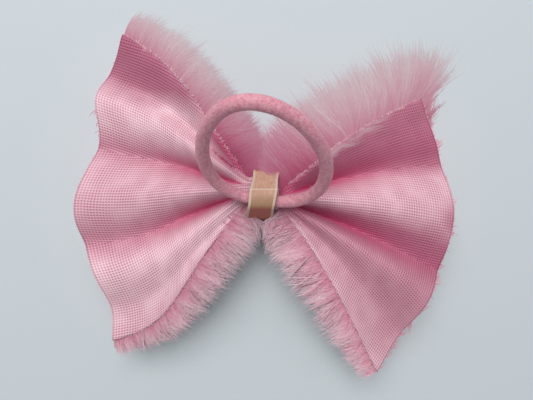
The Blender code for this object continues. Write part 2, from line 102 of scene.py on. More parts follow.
# %% Lights and the world
def add_light(name, place, size, power, colour):
    """A square area light at a place, turned towards the origin."""
    light = bpy.data.lights.new(name, "AREA")
    light.size = size
    light.energy = power
    light.color = colour
    lamp = bpy.data.objects.new(name, light)
    way = -np.array(place) / np.linalg.norm(place)
    lamp.location = place
    lamp.rotation_euler = (math.acos(-way[2]), 0.0, math.atan2(way[1], way[0]) - math.pi / 2)
    bpy.context.scene.collection.objects.link(lamp)


add_light("window", (-0.10, 0.45, 0.95), 0.75, 11.0, (1.0, 0.985, 0.975))

world = bpy.data.worlds.new("room")
bpy.context.scene.world = world
world.use_nodes = True
world.node_tree.nodes["Background"].inputs["Color"].default_value = (0.93, 0.96, 1.0, 1.0)
world.node_tree.nodes["Background"].inputs["Strength"].default_value = 0.35
bpy.context.scene.view_settings.view_transform = "Standard"

# %% [markdown]
# ## Writing a material as arithmetic
#
# A procedural finish is a small sum: a pattern here, a mask there, one mixed over the other.
# Wrapping a node's socket in a class that knows the usual operators lets that sum be written
# as one, and every operator adds the Math node it stands for.

# %% Sockets that add and multiply
class Value:
    """A socket in a material, with arithmetic."""

    def __init__(self, finish, socket):
        self.finish = finish
        self.socket = socket

    def maths(self, operation, *others, clamp=False):
        """A Math node on this value and the others."""
        return self.finish.node(
            "ShaderNodeMath", {"operation": operation, "use_clamp": clamp},
            {index: other for index, other in enumerate((self, *others))})

    def __add__(self, other):
        return self.maths("ADD", other)

    def __sub__(self, other):
        return self.maths("SUBTRACT", other)

    def __mul__(self, other):
        return self.maths("MULTIPLY", other)

    def __truediv__(self, other):
        return self.maths("DIVIDE", other)

    def __pow__(self, other):
        return self.maths("POWER", other)

    def __rsub__(self, other):
        return self.maths("MULTIPLY", -1.0).maths("ADD", other)

    __radd__ = __add__
    __rmul__ = __mul__

    def clamp(self):
        """This value kept between 0 and 1."""
        return self.maths("ADD", 0.0, clamp=True)

    def step(self, low, high):
        """0 below low, 1 above high and a smooth rise between. low may be above high."""
        return self.finish.node(
            "ShaderNodeMapRange",
            {"interpolation_type": "SMOOTHSTEP", "clamp": True},
            {"Value": self, "From Min": low, "From Max": high})

    def wave(self, pitch):
        """A cosine of this length, between 0 and 1, with its crest at 0."""
        return (self * (2 * math.pi / pitch)).maths("COSINE") * 0.5 + 0.5


class Finish:
    """A material in the making: Principled, plus whatever its patterns need."""

    def __init__(self, name, **sockets):
        self.material = bpy.data.materials.new(name)
        self.material.use_nodes = True
        self.tree = self.material.node_tree
        self.shader = self.tree.nodes["Principled BSDF"]
        for key, value in sockets.items():
            self.set(self.shader.inputs[key.replace("_", " ")], value)

    def set(self, socket, value):
        """Links a Value to a socket, or sets the socket to a number or a colour."""
        if isinstance(value, Value):
            self.tree.links.new(value.socket, socket)
        elif isinstance(value, tuple) and len(value) == 3 and socket.type == "RGBA":
            socket.default_value = (*value, 1.0)
        else:
            socket.default_value = value

    def node(self, kind, settings, inputs, output=0):
        """A node of a kind, with its settings set first and then its sockets."""
        node = self.tree.nodes.new(kind)
        for key, value in settings.items():
            setattr(node, key, value)
        for key, value in inputs.items():
            self.set(node.inputs[key], value)
        return Value(self, node.outputs[output])

    def uv(self, name):
        """The across and along values of a UV map, as two Values."""
        place = self.node("ShaderNodeUVMap", {"uv_map": name}, {})
        return [self.node("ShaderNodeSeparateXYZ", {}, {0: place}, output)
                for output in (0, 1)]

    def point(self, scale=(1.0, 1.0, 1.0)):
        """Object coordinates, stretched."""
        place = self.node("ShaderNodeTexCoord", {}, {}, output=3)
        return self.node("ShaderNodeMapping", {}, {"Vector": place, "Scale": scale})

    def join(self, x, y, z=0.0):
        """A vector from three values."""
        return self.node("ShaderNodeCombineXYZ", {}, {0: x, 1: y, 2: z})

    def noise(self, where, size, detail=2.0, roughness=0.5):
        """Noise between about 0 and 1 with features of this size in metres."""
        return self.node(
            "ShaderNodeTexNoise", {},
            {"Vector": where, "Scale": 1 / size, "Detail": detail, "Roughness": roughness})

    def blend(self, amount, low, high):
        """One colour mixed into another by an amount."""
        mix = self.tree.nodes.new("ShaderNodeMix")
        mix.data_type = "RGBA"
        colours = [socket for socket in mix.inputs if socket.type == "RGBA"]
        self.set(mix.inputs[0], amount)
        self.set(colours[0], low)
        self.set(colours[1], high)
        return Value(self, [socket for socket in mix.outputs if socket.type == "RGBA"][0])

    def attribute(self, name):
        """A number that the mesh carries at each of its points."""
        return self.node("ShaderNodeAttribute", {"attribute_name": name}, {}, output=2)

    def paint(self, colour):
        """Feeds a colour to the shader."""
        self.set(self.shader.inputs["Base Color"], colour)

    def bump(self, height, depth, strength=1.0):
        """Feeds a height of this depth in metres to the shader's normal."""
        normal = self.node(
            "ShaderNodeBump", {},
            {"Height": height, "Distance": depth, "Strength": strength})
        self.set(self.shader.inputs["Normal"], normal)


# %% [markdown]
# ## The wings' cloth
#
# A wing is a flat, woven-backed cloth that leaves the waist in a few pleats and opens like a
# fan. Cloth simulation from a flat strip would find folds of its own, but these folds have to
# lie where the bow's do. So the cloth is a surface of two values: u runs from the waist to the
# outer edge and v from the lower cut edge to the upper one. Its plan is a Coons patch, which
# fills the space between four drawn edges, and its height is three lobes with creases between
# them. These are the same sums and sizes that the frame's own plain wings were made with.

# %% The wings' sizes
WING_REACH, UPPER_REACH, LOWER_REACH = 0.0722, 0.0613, 0.0709
CLOTH = 0.0010
ROOT_Z = BUNDLE_TOP - 0.15 * MM
ROOT_BREADTH = waist_high[1] - waist_low[1] - 1.5 * CLOTH
RIDGE_Z, ROOT_DROP = 0.0300, 0.0030
OPENED_AT, DROOP_FROM, BUMP_SPAN, LIP_FROM = 0.30, 0.35, 0.13, 0.60
CREST_SPAN, CREASE_FADE, CREASE_ROUND = 0.80, 0.45, 0.22

LEFT_WING = {
    "side": -1, "lower": (0.845, 0.821), "upper": (0.734, 1.000), "root": (-0.36, 1.00),
    "lower_bow": (0.092, 2.0), "upper_bow": (0.067, 1.55),
    "belly": (0.86, 3.47), "bump": (0.844, 0.166),
    "creases": (0.333, 0.642), "crease_depths": (0.0085, 0.0095),
    "lower_rim": (0.40, 0.0015, 0.0010), "upper_rim": (0.42, 0.0040, 0.0065),
    "lower_droop": 0.0085, "upper_droop": 0.0015,
}
RIGHT_WING = {
    "side": 1, "lower": (0.636, 1.000), "upper": (0.845, 0.615), "root": (-0.56, 0.15),
    "lower_bow": (-0.034, 0.67), "upper_bow": (0.043, 1.10),
    "belly": (1.04, 1.00), "bump": (0.77, 0.0),
    "creases": (0.385, 0.770), "crease_depths": (0.0085, 0.0100),
    "lower_rim": (0.28, 0.0035, 0.0025), "upper_rim": (0.95, 0.0, 0.0010),
    "lower_droop": 0.0075, "upper_droop": 0.0030,
}


# %% The wings' plan
def smooth_step(x):
    """0 below 0, 1 above 1, and a smooth rise between."""
    x = np.clip(x, 0.0, 1.0)
    return x * x * (3 - 2 * x)


def bowed(start, end, bow, t):
    """Points on a straight line from start to end, pushed sideways by a skewed half sine."""
    amount, skew = bow
    start, end = np.array(start), np.array(end)
    along = end - start
    aside = np.array([-along[1], along[0]])
    push = amount * np.sin(math.pi * np.clip(t, 0, 1) ** skew)
    return start + t[..., None] * along + push[..., None] * aside


def wing_plan(wing, u, v):
    """How far out and how far up the bow a point of the cloth lies.

    A Coons patch: the blend of the two cut edges, plus the blend of root and outer edge, less
    the blend of the four corners. The outer edge is a straight line and a skewed bulge."""
    lower = (wing["lower"][0] * WING_REACH, -wing["lower"][1] * LOWER_REACH)
    upper = (wing["upper"][0] * WING_REACH, wing["upper"][1] * UPPER_REACH)
    out = WAIST_HALF + 0.0004
    root_low, root_high = [(out, share * ROOT_BREADTH / 2) for share in wing["root"]]
    amount, skew = wing["lower_bow"]
    low_edge = bowed(root_low, lower, (-amount, skew), u)
    high_edge = bowed(root_high, upper, wing["upper_bow"], u)
    across, along = v[..., None], u[..., None]
    root = np.array(root_low) + across * (np.array(root_high) - np.array(root_low))
    outer = np.array(lower) + across * (np.array(upper) - np.array(lower))
    skew, power = wing["belly"]
    belly = np.abs(np.sin(math.pi * v ** skew)) ** power
    outer[..., 0] += (WING_REACH - (lower[0] + upper[0]) / 2) * belly
    place, bump = wing["bump"]
    closed = np.sqrt(np.abs(np.sin(math.pi * v)))
    outer[..., 0] += bump * WING_REACH * closed * np.exp(-(((v - place) / BUMP_SPAN) ** 2))
    inner_corners = (1 - across) * np.array(root_low) + across * np.array(root_high)
    outer_corners = (1 - across) * np.array(lower) + across * np.array(upper)
    edges = (1 - across) * low_edge + across * high_edge + (1 - along) * root + along * outer
    return edges - (1 - along) * inner_corners - along * outer_corners


# %% The wings' folds
def edge_lobes(wing, v):
    """How far across each of the two edge lobes a point lies: 0 in its crease, 1 at its edge."""
    low_crease, high_crease = wing["creases"]
    lower = np.clip((low_crease - v) / low_crease, 0, 1)
    upper = np.clip((v - high_crease) / (1 - high_crease), 0, 1)
    return lower, upper


def lobe_profile(wing, v):
    """0 in the creases, 1 on the crest of each of the three lobes.

    The middle lobe is a half sine between its creases, an edge lobe a quarter sine that stays
    full to its cut edge, and hypot rounds their feet into the creases."""
    low_crease, high_crease = wing["creases"]
    arch = np.sin(math.pi * np.clip((v - low_crease) / (high_crease - low_crease), 0, 1))
    for across, rim in zip(edge_lobes(wing, v), (wing["lower_rim"], wing["upper_rim"])):
        arch = np.maximum(arch, np.sin(math.pi / 2 * np.clip(across / rim[0], 0, 1)))
    crest = math.hypot(1, CREASE_ROUND) - CREASE_ROUND
    return (np.hypot(arch, CREASE_ROUND) - CREASE_ROUND) / crest


def rim_rise(wing, u, v):
    """How far the cloth beside a cut edge dips, then curls up in a lip, and droops at a corner."""
    rise = np.zeros_like(v)
    drooped = smooth_step((u - DROOP_FROM) / (1 - DROOP_FROM))
    rims = ((wing["lower_rim"], wing["lower_droop"]), (wing["upper_rim"], wing["upper_droop"]))
    for across, ((full, dip, lip), droop) in zip(edge_lobes(wing, v), rims):
        rise -= dip * smooth_step(2 * (across - full) / (1 - full))
        rise += lip * smooth_step((across - LIP_FROM) / (1 - LIP_FROM))
        rise -= droop * drooped * smooth_step(across)
    return rise


def wing_height(wing, u, v):
    """Crest line, less the creases that fan out of the waist, plus the rims' rise."""
    crest = ROOT_Z + (RIDGE_Z - ROOT_Z) * np.sin(math.pi * CREST_SPAN * u)
    opened = smooth_step(u / OPENED_AT)
    low_depth, high_depth = wing["crease_depths"]
    crease = (low_depth + (high_depth - low_depth) * v) * (1 - CREASE_FADE * u)
    height = crest + opened * (rim_rise(wing, u, v) - crease * (1 - lobe_profile(wing, v)))
    return height - (1 - opened) * ROOT_DROP * (1 - np.sin(math.pi * v))


def wing_surface(wing, u, v):
    """Points in the middle of a wing's cloth, in the frame's own space."""
    plan = wing_plan(wing, np.clip(u, 0, 1), v)
    height = wing_height(wing, np.clip(u, 0, 1), v)
    x = WAIST[0] + wing["side"] * plan[..., 0]
    return np.stack([x, WAIST[1] + plan[..., 1], height], axis=-1)


def unit(vectors):
    """The vectors at length 1."""
    return vectors / np.maximum(np.linalg.norm(vectors, axis=-1, keepdims=True), 1e-12)


def wing_frame(wing, u, v):
    """A point of the cloth and the upward normal there."""
    step = 1e-3
    here = wing_surface(wing, u, v)
    along = unit(wing_surface(wing, np.minimum(u + step, 1), v)
                 - wing_surface(wing, np.maximum(u - step, 0), v))
    across = unit(wing_surface(wing, u, np.minimum(v + step, 1))
                  - wing_surface(wing, u, np.maximum(v - step, 0)))
    up = unit(np.cross(along, across))
    return here, up * np.sign(up[..., 2:3])


# %% [markdown]
# A grid of points becomes a mesh of quads. Each piece gets its wall from Solidify. The cloth's
# own map is laid out in metres, so that its weave keeps one size all over: across the wing it
# is measured from the crest of each lobe, and what the weave jumps by at a crease is the cloth
# that is tucked away in the fold.

# %% Grids of quads
def grid_values(rows, columns, start=0.0):
    """Two arrays over a grid: u rises from start to 1 down it, and v from 0 to 1 across it."""
    u = np.linspace(start, 1, rows)[:, None] + np.zeros((1, columns))
    v = np.zeros((rows, 1)) + np.linspace(0, 1, columns)[None, :]
    return u, v


def grid_faces(rows, columns, close_rows=False, close_columns=False):
    """Corner numbers of the quads between the points of a grid, which may close on itself."""
    i = np.arange(rows if close_rows else rows - 1)
    j = np.arange(columns if close_columns else columns - 1)
    i, j = np.meshgrid(i, j, indexing="ij")
    i, j = i.ravel(), j.ravel()
    down, right = (i + 1) % rows, (j + 1) % columns
    return np.stack([i * columns + j, down * columns + j, down * columns + right,
                     i * columns + right], axis=1)


def mesh_of(name, points, faces, loops=None, layer="UVMap"):
    """A smooth mesh from arrays of points and of faces, with one UV for each corner."""
    points = np.ascontiguousarray(points.reshape(-1, 3), np.float32)
    faces = np.ascontiguousarray(faces, np.int32)
    size = faces.shape[1]
    mesh = bpy.data.meshes.new(name)
    mesh.vertices.add(len(points))
    mesh.vertices.foreach_set("co", points.ravel())
    mesh.loops.add(faces.size)
    mesh.loops.foreach_set("vertex_index", faces.ravel())
    mesh.polygons.add(len(faces))
    mesh.polygons.foreach_set("loop_start", np.arange(0, faces.size, size, dtype=np.int32))
    mesh.polygons.foreach_set("use_smooth", np.full(len(faces), True))
    mesh.update(calc_edges=True)
    if loops is not None:
        uv = mesh.uv_layers.new(name=layer)
        uv.data.foreach_set("uv", np.ascontiguousarray(loops, np.float32).ravel())
    mesh.validate()
    return mesh


def add_piece(name, mesh, finish):
    """A mesh as an object at the origin, with one finish."""
    mesh.materials.append(finish.material)
    piece = bpy.data.objects.new(name, mesh)
    bpy.context.scene.collection.objects.link(piece)
    return piece


def add_wall(piece, thickness):
    """Gives a sheet its thickness, half to each side."""
    wall = piece.modifiers.new("wall", "SOLIDIFY")
    wall.thickness = thickness
    wall.offset = 0.0


def attribute(mesh, name, values):
    """A number at each point, for a material to read."""
    layer = mesh.attributes.new(name, "FLOAT", "POINT")
    layer.data.foreach_set("value", np.ascontiguousarray(values, np.float32).ravel())


# %% [markdown]
# ### The weave
#
# Seen close, the backing is a fine open weave: pale, slightly shiny threads with small deep
# pink holes between them, about a millimetre apart. Two rows of cosine ribs cross in the map
# of the cloth, and a hole shows where the valleys of both meet.
#
# Two numbers at each point of the cloth paint shade into its colour. One is 1 down in a crease:
# painted shade, magenta where the light goes from thread to thread. The other, turned, is 1 on
# a slope turned from the light: painted shade, rosy as its threads mirror nothing bright. It isn't
# worked out from the light: a table says how rosy each slope is.

# %% The backing's finish
WEAVE_PITCH = 1.06 * MM


def backing_finish():
    """Woven polyester backing: ribs, holes, sheen, and painted shade in the folds and on slopes
    turned from the light.
    """
    finish = Finish("woven_backing", Roughness=0.48, Specular_IOR_Level=0.75,
                    Sheen_Weight=0.15, Sheen_Roughness=0.4)
    across, along = finish.uv("cloth")
    wobble = finish.noise(finish.join(across, along), 6 * MM, 1.0) * 0.35 * MM
    rib = (across + wobble).wave(WEAVE_PITCH)
    course = (along + wobble).wave(WEAVE_PITCH)
    hole = ((1 - rib) * (1 - course)) ** 0.8
    worn = finish.noise(finish.join(across, along), 9 * MM, 1.0).step(0.35, 0.7)
    thread = 1 - (hole * (1.15 - worn * 0.45)).clamp()
    yarn = finish.noise(finish.join(across, along * 0.2), 0.35 * MM, 2.0)
    patch = finish.noise(finish.join(across, along), 14 * MM, 2.0)
    # Painted shade: 1 down in a crease.
    crease_shade = finish.attribute("crease_shade")
    # Painted shade: 1 on a slope turned from the light.
    slope_shade = finish.attribute("turned")
    pale = finish.blend(patch.step(0.35, 0.65), (0.76, 0.48, 0.54), (0.81, 0.55, 0.61))
    pale = finish.blend(yarn.step(0.3, 0.7) * 0.35, pale, (0.82, 0.63, 0.67))
    # Painted shade on slopes turned from the light: rosier, darker threads and holes.
    pale = finish.blend(slope_shade, pale, (0.40, 0.10, 0.18))
    hole_pink = finish.blend(slope_shade, (0.60, 0.19, 0.30), (0.36, 0.045, 0.12))
    # Painted shade down in a crease: the holes and the threads turn magenta.
    deep = finish.blend(crease_shade, hole_pink, (0.40, 0.005, 0.07))
    cloth = finish.blend(thread, deep, finish.blend(crease_shade, pale, (0.52, 0.03, 0.15)))
    finish.paint(cloth)
    finish.bump(thread * 0.8 + yarn * 0.2, 0.35 * MM, 0.8)
    return finish


BACKING = backing_finish()

# %% The backing's cloth
CLOTH_ROWS, CLOTH_COLUMNS = 100, 188
ROOT_TUCK = 0.06
PANEL = (0.076, 0.135)


def ripples(wing, u, v):
    """Small folds that fan out of the waist, and the slight waviness of a cut edge."""
    fan = np.sin(46 * v + 5 * np.sin(3 * v)) * 0.20 * MM * smooth_step(u / 0.12)
    fan *= (1 - smooth_step(u / 0.55)) * (0.4 + 0.6 * lobe_profile(wing, v))
    edge = np.sin(v * 31 + 1.3) * 0.30 * MM * smooth_step((u - 0.8) / 0.2)
    cut = np.sin(u * 27) * 0.25 * MM * smooth_step((np.abs(v - 0.5) - 0.42) / 0.08)
    return fan + edge + cut


def cloth_map(wing, points, v):
    """Across and along the cloth in metres: from the lobe's crest, and from the waist."""
    steps = np.linalg.norm(np.diff(points, axis=1), axis=2)
    walked = np.concatenate([np.zeros((len(points), 1)), np.cumsum(steps, axis=1)], axis=1)
    low, high = wing["creases"]
    crests = (low * 0.45, (low + high) / 2, (1 + high) / 2)
    lobe = np.digitize((v[0, 1:] + v[0, :-1]) / 2, (low, high))
    starts = np.stack([walked[:, np.argmin(np.abs(v[0] - crest))] for crest in crests])
    return walked, starts[lobe]


def crease_shade_mask(wing, u, v, body):
    """Painted shade in the creases: 1 down in them, and less in two shaded places near the waist.

    These are beside the left wing's upper cut edge and all across the right wing's foot. A
    crease is a slit, exp(-(distance / width)^2), in a wider valley that fades outward."""
    crease_shade = (1 - lobe_profile(wing, v)) ** 1.4 * smooth_step(u / 0.1)
    crease_shade = crease_shade * (1 - 0.85 * smooth_step(u / 0.9)) * 1.1
    for crease in wing["creases"]:
        slit = np.exp(-(((v - crease) / (0.040 + 0.008 * u)) ** 2))
        crease_shade = np.maximum(crease_shade, slit * smooth_step(u / 0.06) * (1 - smooth_step(u / 0.85)))
    shaded = 0.85 * smooth_step((v - 0.90) / 0.06) * (1 - smooth_step((u - 0.22) / 0.25))
    if body == "right_wing":
        shaded = 0.55 * (1 - smooth_step(u / 0.30)) * smooth_step(v / 0.4)
    return np.clip(np.maximum(crease_shade, shaded * smooth_step(u / 0.04)), 0, 1)


# Painted shade across each wing, from the lower cut edge to the upper one: places, and how rosy
# each is.
SLOPE_SHADE_TABLE = {
    "left_wing": ((0.0, 0.05, 0.26, 0.33, 0.37, 0.44, 0.60, 0.66, 0.72, 0.81, 0.89, 1.0),
                  (0.25, 0.0, 0.0, 0.60, 0.50, 0.30, 0.24, 0.65, 0.10, 0.0, 0.90, 1.0)),
    "right_wing": ((0.0, 0.06, 0.15, 0.30, 0.385, 0.47, 0.56, 0.72, 0.77, 0.82, 1.0),
                   (0.20, 0.35, 0.55, 0.68, 1.0, 0.90, 0.25, 0.15, 0.80, 1.0, 0.90)),
}


def slope_shade_mask(u, v, body):
    """Painted shade: 1 where a slope is turned from the light, from the table above, with two
    changes.

    The left wing's rosy lip is narrower near the waist, and the right wing's rim has a patch."""
    lip = np.maximum(0.8 - u, 0) * smooth_step((v - 0.7) / 0.2) * (body == "left_wing")
    shade_amount = np.interp(v - 0.35 * lip, *SLOPE_SHADE_TABLE[body])
    if body == "right_wing":
        rim = smooth_step((u - 0.86) / 0.14) * smooth_step(1 - np.abs(v - 0.56) / 0.16)
        shade_amount = np.maximum(shade_amount, 0.75 * rim)
    return shade_amount


def add_backing(name, wing, body):
    """A wing's cloth, from under the ribbon to its cut edges."""
    u, v = grid_values(CLOTH_ROWS, CLOTH_COLUMNS, -ROOT_TUCK)
    points = wing_surface(wing, u, v)
    points[..., 2] += ripples(wing, np.clip(u, 0, 1), v)
    tucked = np.clip(-u / ROOT_TUCK, 0, 1)
    points[..., 0] -= wing["side"] * tucked * 2.6 * MM
    points[..., 2] -= tucked * 0.3 * MM
    faces = grid_faces(CLOTH_ROWS, CLOTH_COLUMNS)
    if wing["side"] > 0:
        faces = faces[:, ::-1]
    walked, starts = cloth_map(wing, points, v)
    column = (np.arange(len(faces)) % (CLOTH_COLUMNS - 1))[:, None]
    along = walked.ravel()[faces] - starts[column, faces // CLOTH_COLUMNS]
    across = u.ravel()[faces] * PANEL[0]
    mesh = mesh_of(name, points, faces, np.stack([across, along], axis=-1), "cloth")
    # Painted shade for the colour: 1 down in the creases.
    attribute(mesh, "crease_shade", crease_shade_mask(wing, u, v, body))
    # Painted shade for the colour: 1 on slopes turned from the light.
    attribute(mesh, "turned", slope_shade_mask(u, v, body))
    piece = add_piece(name, mesh, BACKING)
    add_wall(piece, CLOTH * 0.7)
    start = (WAIST[0] + wing["side"] * 5.0 * MM, WAIST[1], ROOT_Z)
    end = (WAIST[0] + wing["side"] * 9.0 * MM, WAIST[1], ROOT_Z)
    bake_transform(piece)
    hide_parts(body + "_backing")
    area = float(np.linalg.norm(np.cross(
        points[1:, :-1] - points[:-1, :-1], points[:-1, 1:] - points[:-1, :-1]), axis=2).sum())
    print(name, len(faces), "quads,", round(area * 1e4, 1), "cm2")
    return piece


WINGS = (("left_wing", LEFT_WING), ("right_wing", RIGHT_WING))

# %% Both wings' cloth
for body, wing in WINGS:
    add_backing(body + "_cloth", wing, body)

# %% [markdown]
# ## The pile
#
# The pile is what makes the bow: long, soft fibres in clumps that hang from the cloth's hidden
# face and spill out past its cut edges. Blender's own hair would not survive as a reusable
# part, so each lock is a real, closed sliver: a triangle carried along a drooping curve to a
# point, sixteen triangles in all. Thousands of them are worked out at once as arrays. They
# grow in clumps whose tips draw together, which is what gives fur its tufts. A lock that is
# rooted at the cut edge stands straight out, and one that is rooted further in hangs down.

# %% One lock, thousands of times
SHADES = 64
LEVELS = (0.0, 0.38, 0.72, 1.0)


def lock_paths(start, bend, end):
    """Four points on each curved way from start to end that bends towards a third point.

    (1-t)^2 start + 2t(1-t) bend + t^2 end."""
    return np.stack([(1 - t) ** 2 * start + 2 * t * (1 - t) * bend + t ** 2 * end
                     for t in LEVELS], axis=1)


def lock_mesh(name, path, radius, shade, shared=True):
    """Tapered three-sided locks along paths of four points, each with its shade from 0 to 1.

    A lock's map has its shade across and the way from root to tip along, so its colour can be
    read from the map alone. Where the shading is shared, the normals of all locks lean
    towards the upright, which blends them into one soft mass as light inside real fur does."""
    count = len(path)
    along = unit(path[:, 3] - path[:, 0])
    aside = unit(np.cross(along, (0.0, 0.0, 1.0)) + 1e-6)
    over = np.cross(along, aside)
    angle = 2 * math.pi * np.arange(3) / 3
    spokes = np.cos(angle)[:, None] * aside[:, None] + np.sin(angle)[:, None] * over[:, None]
    thickness = radius[:, None] * np.array([1.0, 1.0, 0.72])
    rings = path[:, :3, None] + thickness[..., None, None] * spokes[:, None]
    points = np.concatenate([rings.reshape(count, 9, 3), path[:, 3:4]], axis=1)
    faces, map_u, map_v = [[2, 1, 0]], [[0.8, 0.5, 0.2]], [[0.0, 0.0, 0.02]]
    for side in range(3):
        after = (side + 1) % 3
        left, right = 0.1 + 0.25 * side, 0.3 + 0.25 * side
        for level in (0, 1):
            low, high = 3 * level, 3 * level + 3
            faces += [[low + side, low + after, high + after],
                      [low + side, high + after, high + side]]
            map_u += [[left, right, right], [left, right, left]]
            map_v += [[LEVELS[level], LEVELS[level], LEVELS[level + 1]],
                      [LEVELS[level], LEVELS[level + 1], LEVELS[level + 1]]]
        faces.append([6 + side, 6 + after, 9])
        map_u.append([left, right, (left + right) / 2])
        map_v.append([LEVELS[2], LEVELS[2], 1.0])
    lean = spokes * 0.45 + along[:, None] * 0.15 + np.array([0.0, 0.0, 0.8])
    lean = unit(np.concatenate([lean, lean, lean, lean[:, :1]], axis=1)).reshape(-1, 3)
    faces = np.array(faces)[None] + 10 * np.arange(count)[:, None, None]
    column = np.floor(np.clip(shade, 0, 0.999) * SHADES)[:, None, None]
    map_u = (column + np.array(map_u)[None]) / SHADES
    map_v = np.broadcast_to(0.02 + 0.96 * np.array(map_v)[None], map_u.shape)
    loops = np.stack([map_u, map_v], axis=-1)
    mesh = mesh_of(name, points, faces.reshape(-1, 3), loops.reshape(-1, 3, 2), "OFBake")
    if shared:
        mesh.normals_split_custom_set_from_vertices(lean)
    return mesh


def fur_finish(name, tint):
    """Long polyester pile: rosy at the root, pale at the tip, each lock its own shade; the dark
    roots are partly painted shade deep in the pile.
    """
    finish = Finish(name, Roughness=0.55, Specular_IOR_Level=0.3,
                    Sheen_Weight=0.25, Sheen_Roughness=0.5)
    shade, along = finish.uv("OFBake")
    own = finish.node("ShaderNodeMath", {"operation": "FLOOR"}, {0: shade * SHADES}) / SHADES
    # Rosy roots: the fur's own colour, darkened further by painted shade deep in the pile.
    colours = [tuple(np.array(colour) * tint) for colour in (
        (0.40, 0.03, 0.11), (0.60, 0.27, 0.35), (0.50, 0.12, 0.22), (0.64, 0.43, 0.49),
        (0.54, 0.22, 0.31), (0.66, 0.58, 0.61))]
    root, middle, tip = [finish.blend(own, *colours[i:i + 2]) for i in (0, 2, 4)]
    lower = finish.blend(along.step(0.0, 0.5), root, middle)
    finish.paint(finish.blend(along.step(0.35, 1.0), lower, tip))
    return finish


FUR = fur_finish("fur_pile", (1.06, 1.06, 1.06))
# A darker, less red copy of the fur: painted shade for the upper edges' locks and the strays,
# which cast no shadows.
SHADED_FUR = fur_finish("shaded_fur_pile", (0.80, 0.92, 0.88))

# %% [markdown]
# ### Which way the fur falls
#
# Along a cut edge the fur points straight away from the cloth, in the plan. Near the waist the
# edges turn, so the fur of the two wings meets there in a V. How far it reaches differs: the
# fluffy roll on the right wing's upper edge is longest, and the lower edges' fur shortens
# towards the corners. Along the outer edges the fur hangs almost straight down, so it shows
# from the side and hardly from above.

# %% Locks along an edge
# Reaches are in mm. Drops and HANGING are degrees below the level, and a rise is how many
# degrees higher a lock sets out than it ends. Along an upper or lower edge the first number of
# a pair is the one at the waist. A turn is in radians, and plush is 1 for tips of every length.
EDGES = {
    "left_upper": {"wing": LEFT_WING, "edge": "upper", "reach": (15.5, 13.0), "drop": (4, 24),
                   "plush": 0.05},
    "left_lower": {"wing": LEFT_WING, "edge": "lower", "reach": (16.5, 9.0), "drop": (8, 20),
                   "plush": 0.8},
    "left_outer": {"wing": LEFT_WING, "edge": "outer", "reach": (19.0, 19.0), "drop": (82, 82),
                   "rise": 6, "band": 4 * MM, "plush": 0.0},
    "right_upper": {"wing": RIGHT_WING, "edge": "upper", "reach": (23.0, 25.0), "drop": (6, 10),
                    "turn": -0.95, "plush": 0.10},
    "right_lower": {"wing": RIGHT_WING, "edge": "lower", "reach": (18.0, 8.5), "drop": (8, 20),
                    "plush": 0.8},
    "right_outer": {"wing": RIGHT_WING, "edge": "outer", "reach": (19.0, 19.0), "drop": (76, 76),
                    "rise": 10, "band": 4 * MM, "plush": 0.0},
}
BAND = 13 * MM
PILE_LENGTH = 23 * MM
UNDERSIDE = 0.75 * MM
HANGING = 84


def on_edge(edge, share, inward):
    """u and v of the points at a share of an edge, this share of the cloth in from it."""
    if edge == "outer":
        return 1 - inward, share
    return share, (1 - inward if edge == "upper" else inward)


def outward(wing, edge, share):
    """The level direction away from the cloth at an edge, at right angles to the edge."""
    step = 4e-3
    before, after = np.clip(share - step, 0, 1), np.clip(share + step, 0, 1)
    still = np.zeros_like(share)
    run = wing_surface(wing, *on_edge(edge, after, still)) \
        - wing_surface(wing, *on_edge(edge, before, still))
    inside = wing_surface(wing, *on_edge(edge, share, still)) \
        - wing_surface(wing, *on_edge(edge, share, still + 0.05))
    away = np.stack([run[:, 1], -run[:, 0], np.zeros_like(share)], axis=1)
    away *= np.sign((away * inside).sum(axis=1))[:, None]
    return unit(away)


def turned(level, angle):
    """Level directions turned about the upright by an angle."""
    c, s = np.cos(angle), np.sin(angle)
    return np.stack([c * level[:, 0] - s * level[:, 1],
                     s * level[:, 0] + c * level[:, 1], level[:, 2]], axis=1)


def kept_clear(wing, points, middle):
    """Points kept above the floor, beside the ribbon and no further in than middle, in mm.

    Both limits are soft: log(1 + e^x) replaces a hard maximum."""
    rise = (points[..., 2] / MM - 0.5) / 1.2
    points[..., 2] = (0.5 + 1.2 * np.logaddexp(0, rise)) * MM
    beside = 1 - smooth_step((np.abs(points[..., 1] - WAIST[1]) / MM - 6.5) / 4)
    least = middle + (5.9 - middle) * beside
    out = (wing["side"] * (points[..., 0] - WAIST[0]) / MM - least) / 0.5
    points[..., 0] = WAIST[0] + wing["side"] * (least + 0.5 * np.logaddexp(0, out)) * MM
    return points


def slanted(level, fall):
    """Directions that fall from the level by an angle."""
    return level * np.cos(fall)[:, None] - np.array([0.0, 0.0, 1.0]) * np.sin(fall)[:, None]


def by_clump(chance, mean, spread, clumps, per_clump):
    """A normal number for each clump, repeated for each of its locks."""
    return np.repeat(chance.normal(mean, spread, clumps), per_clump)


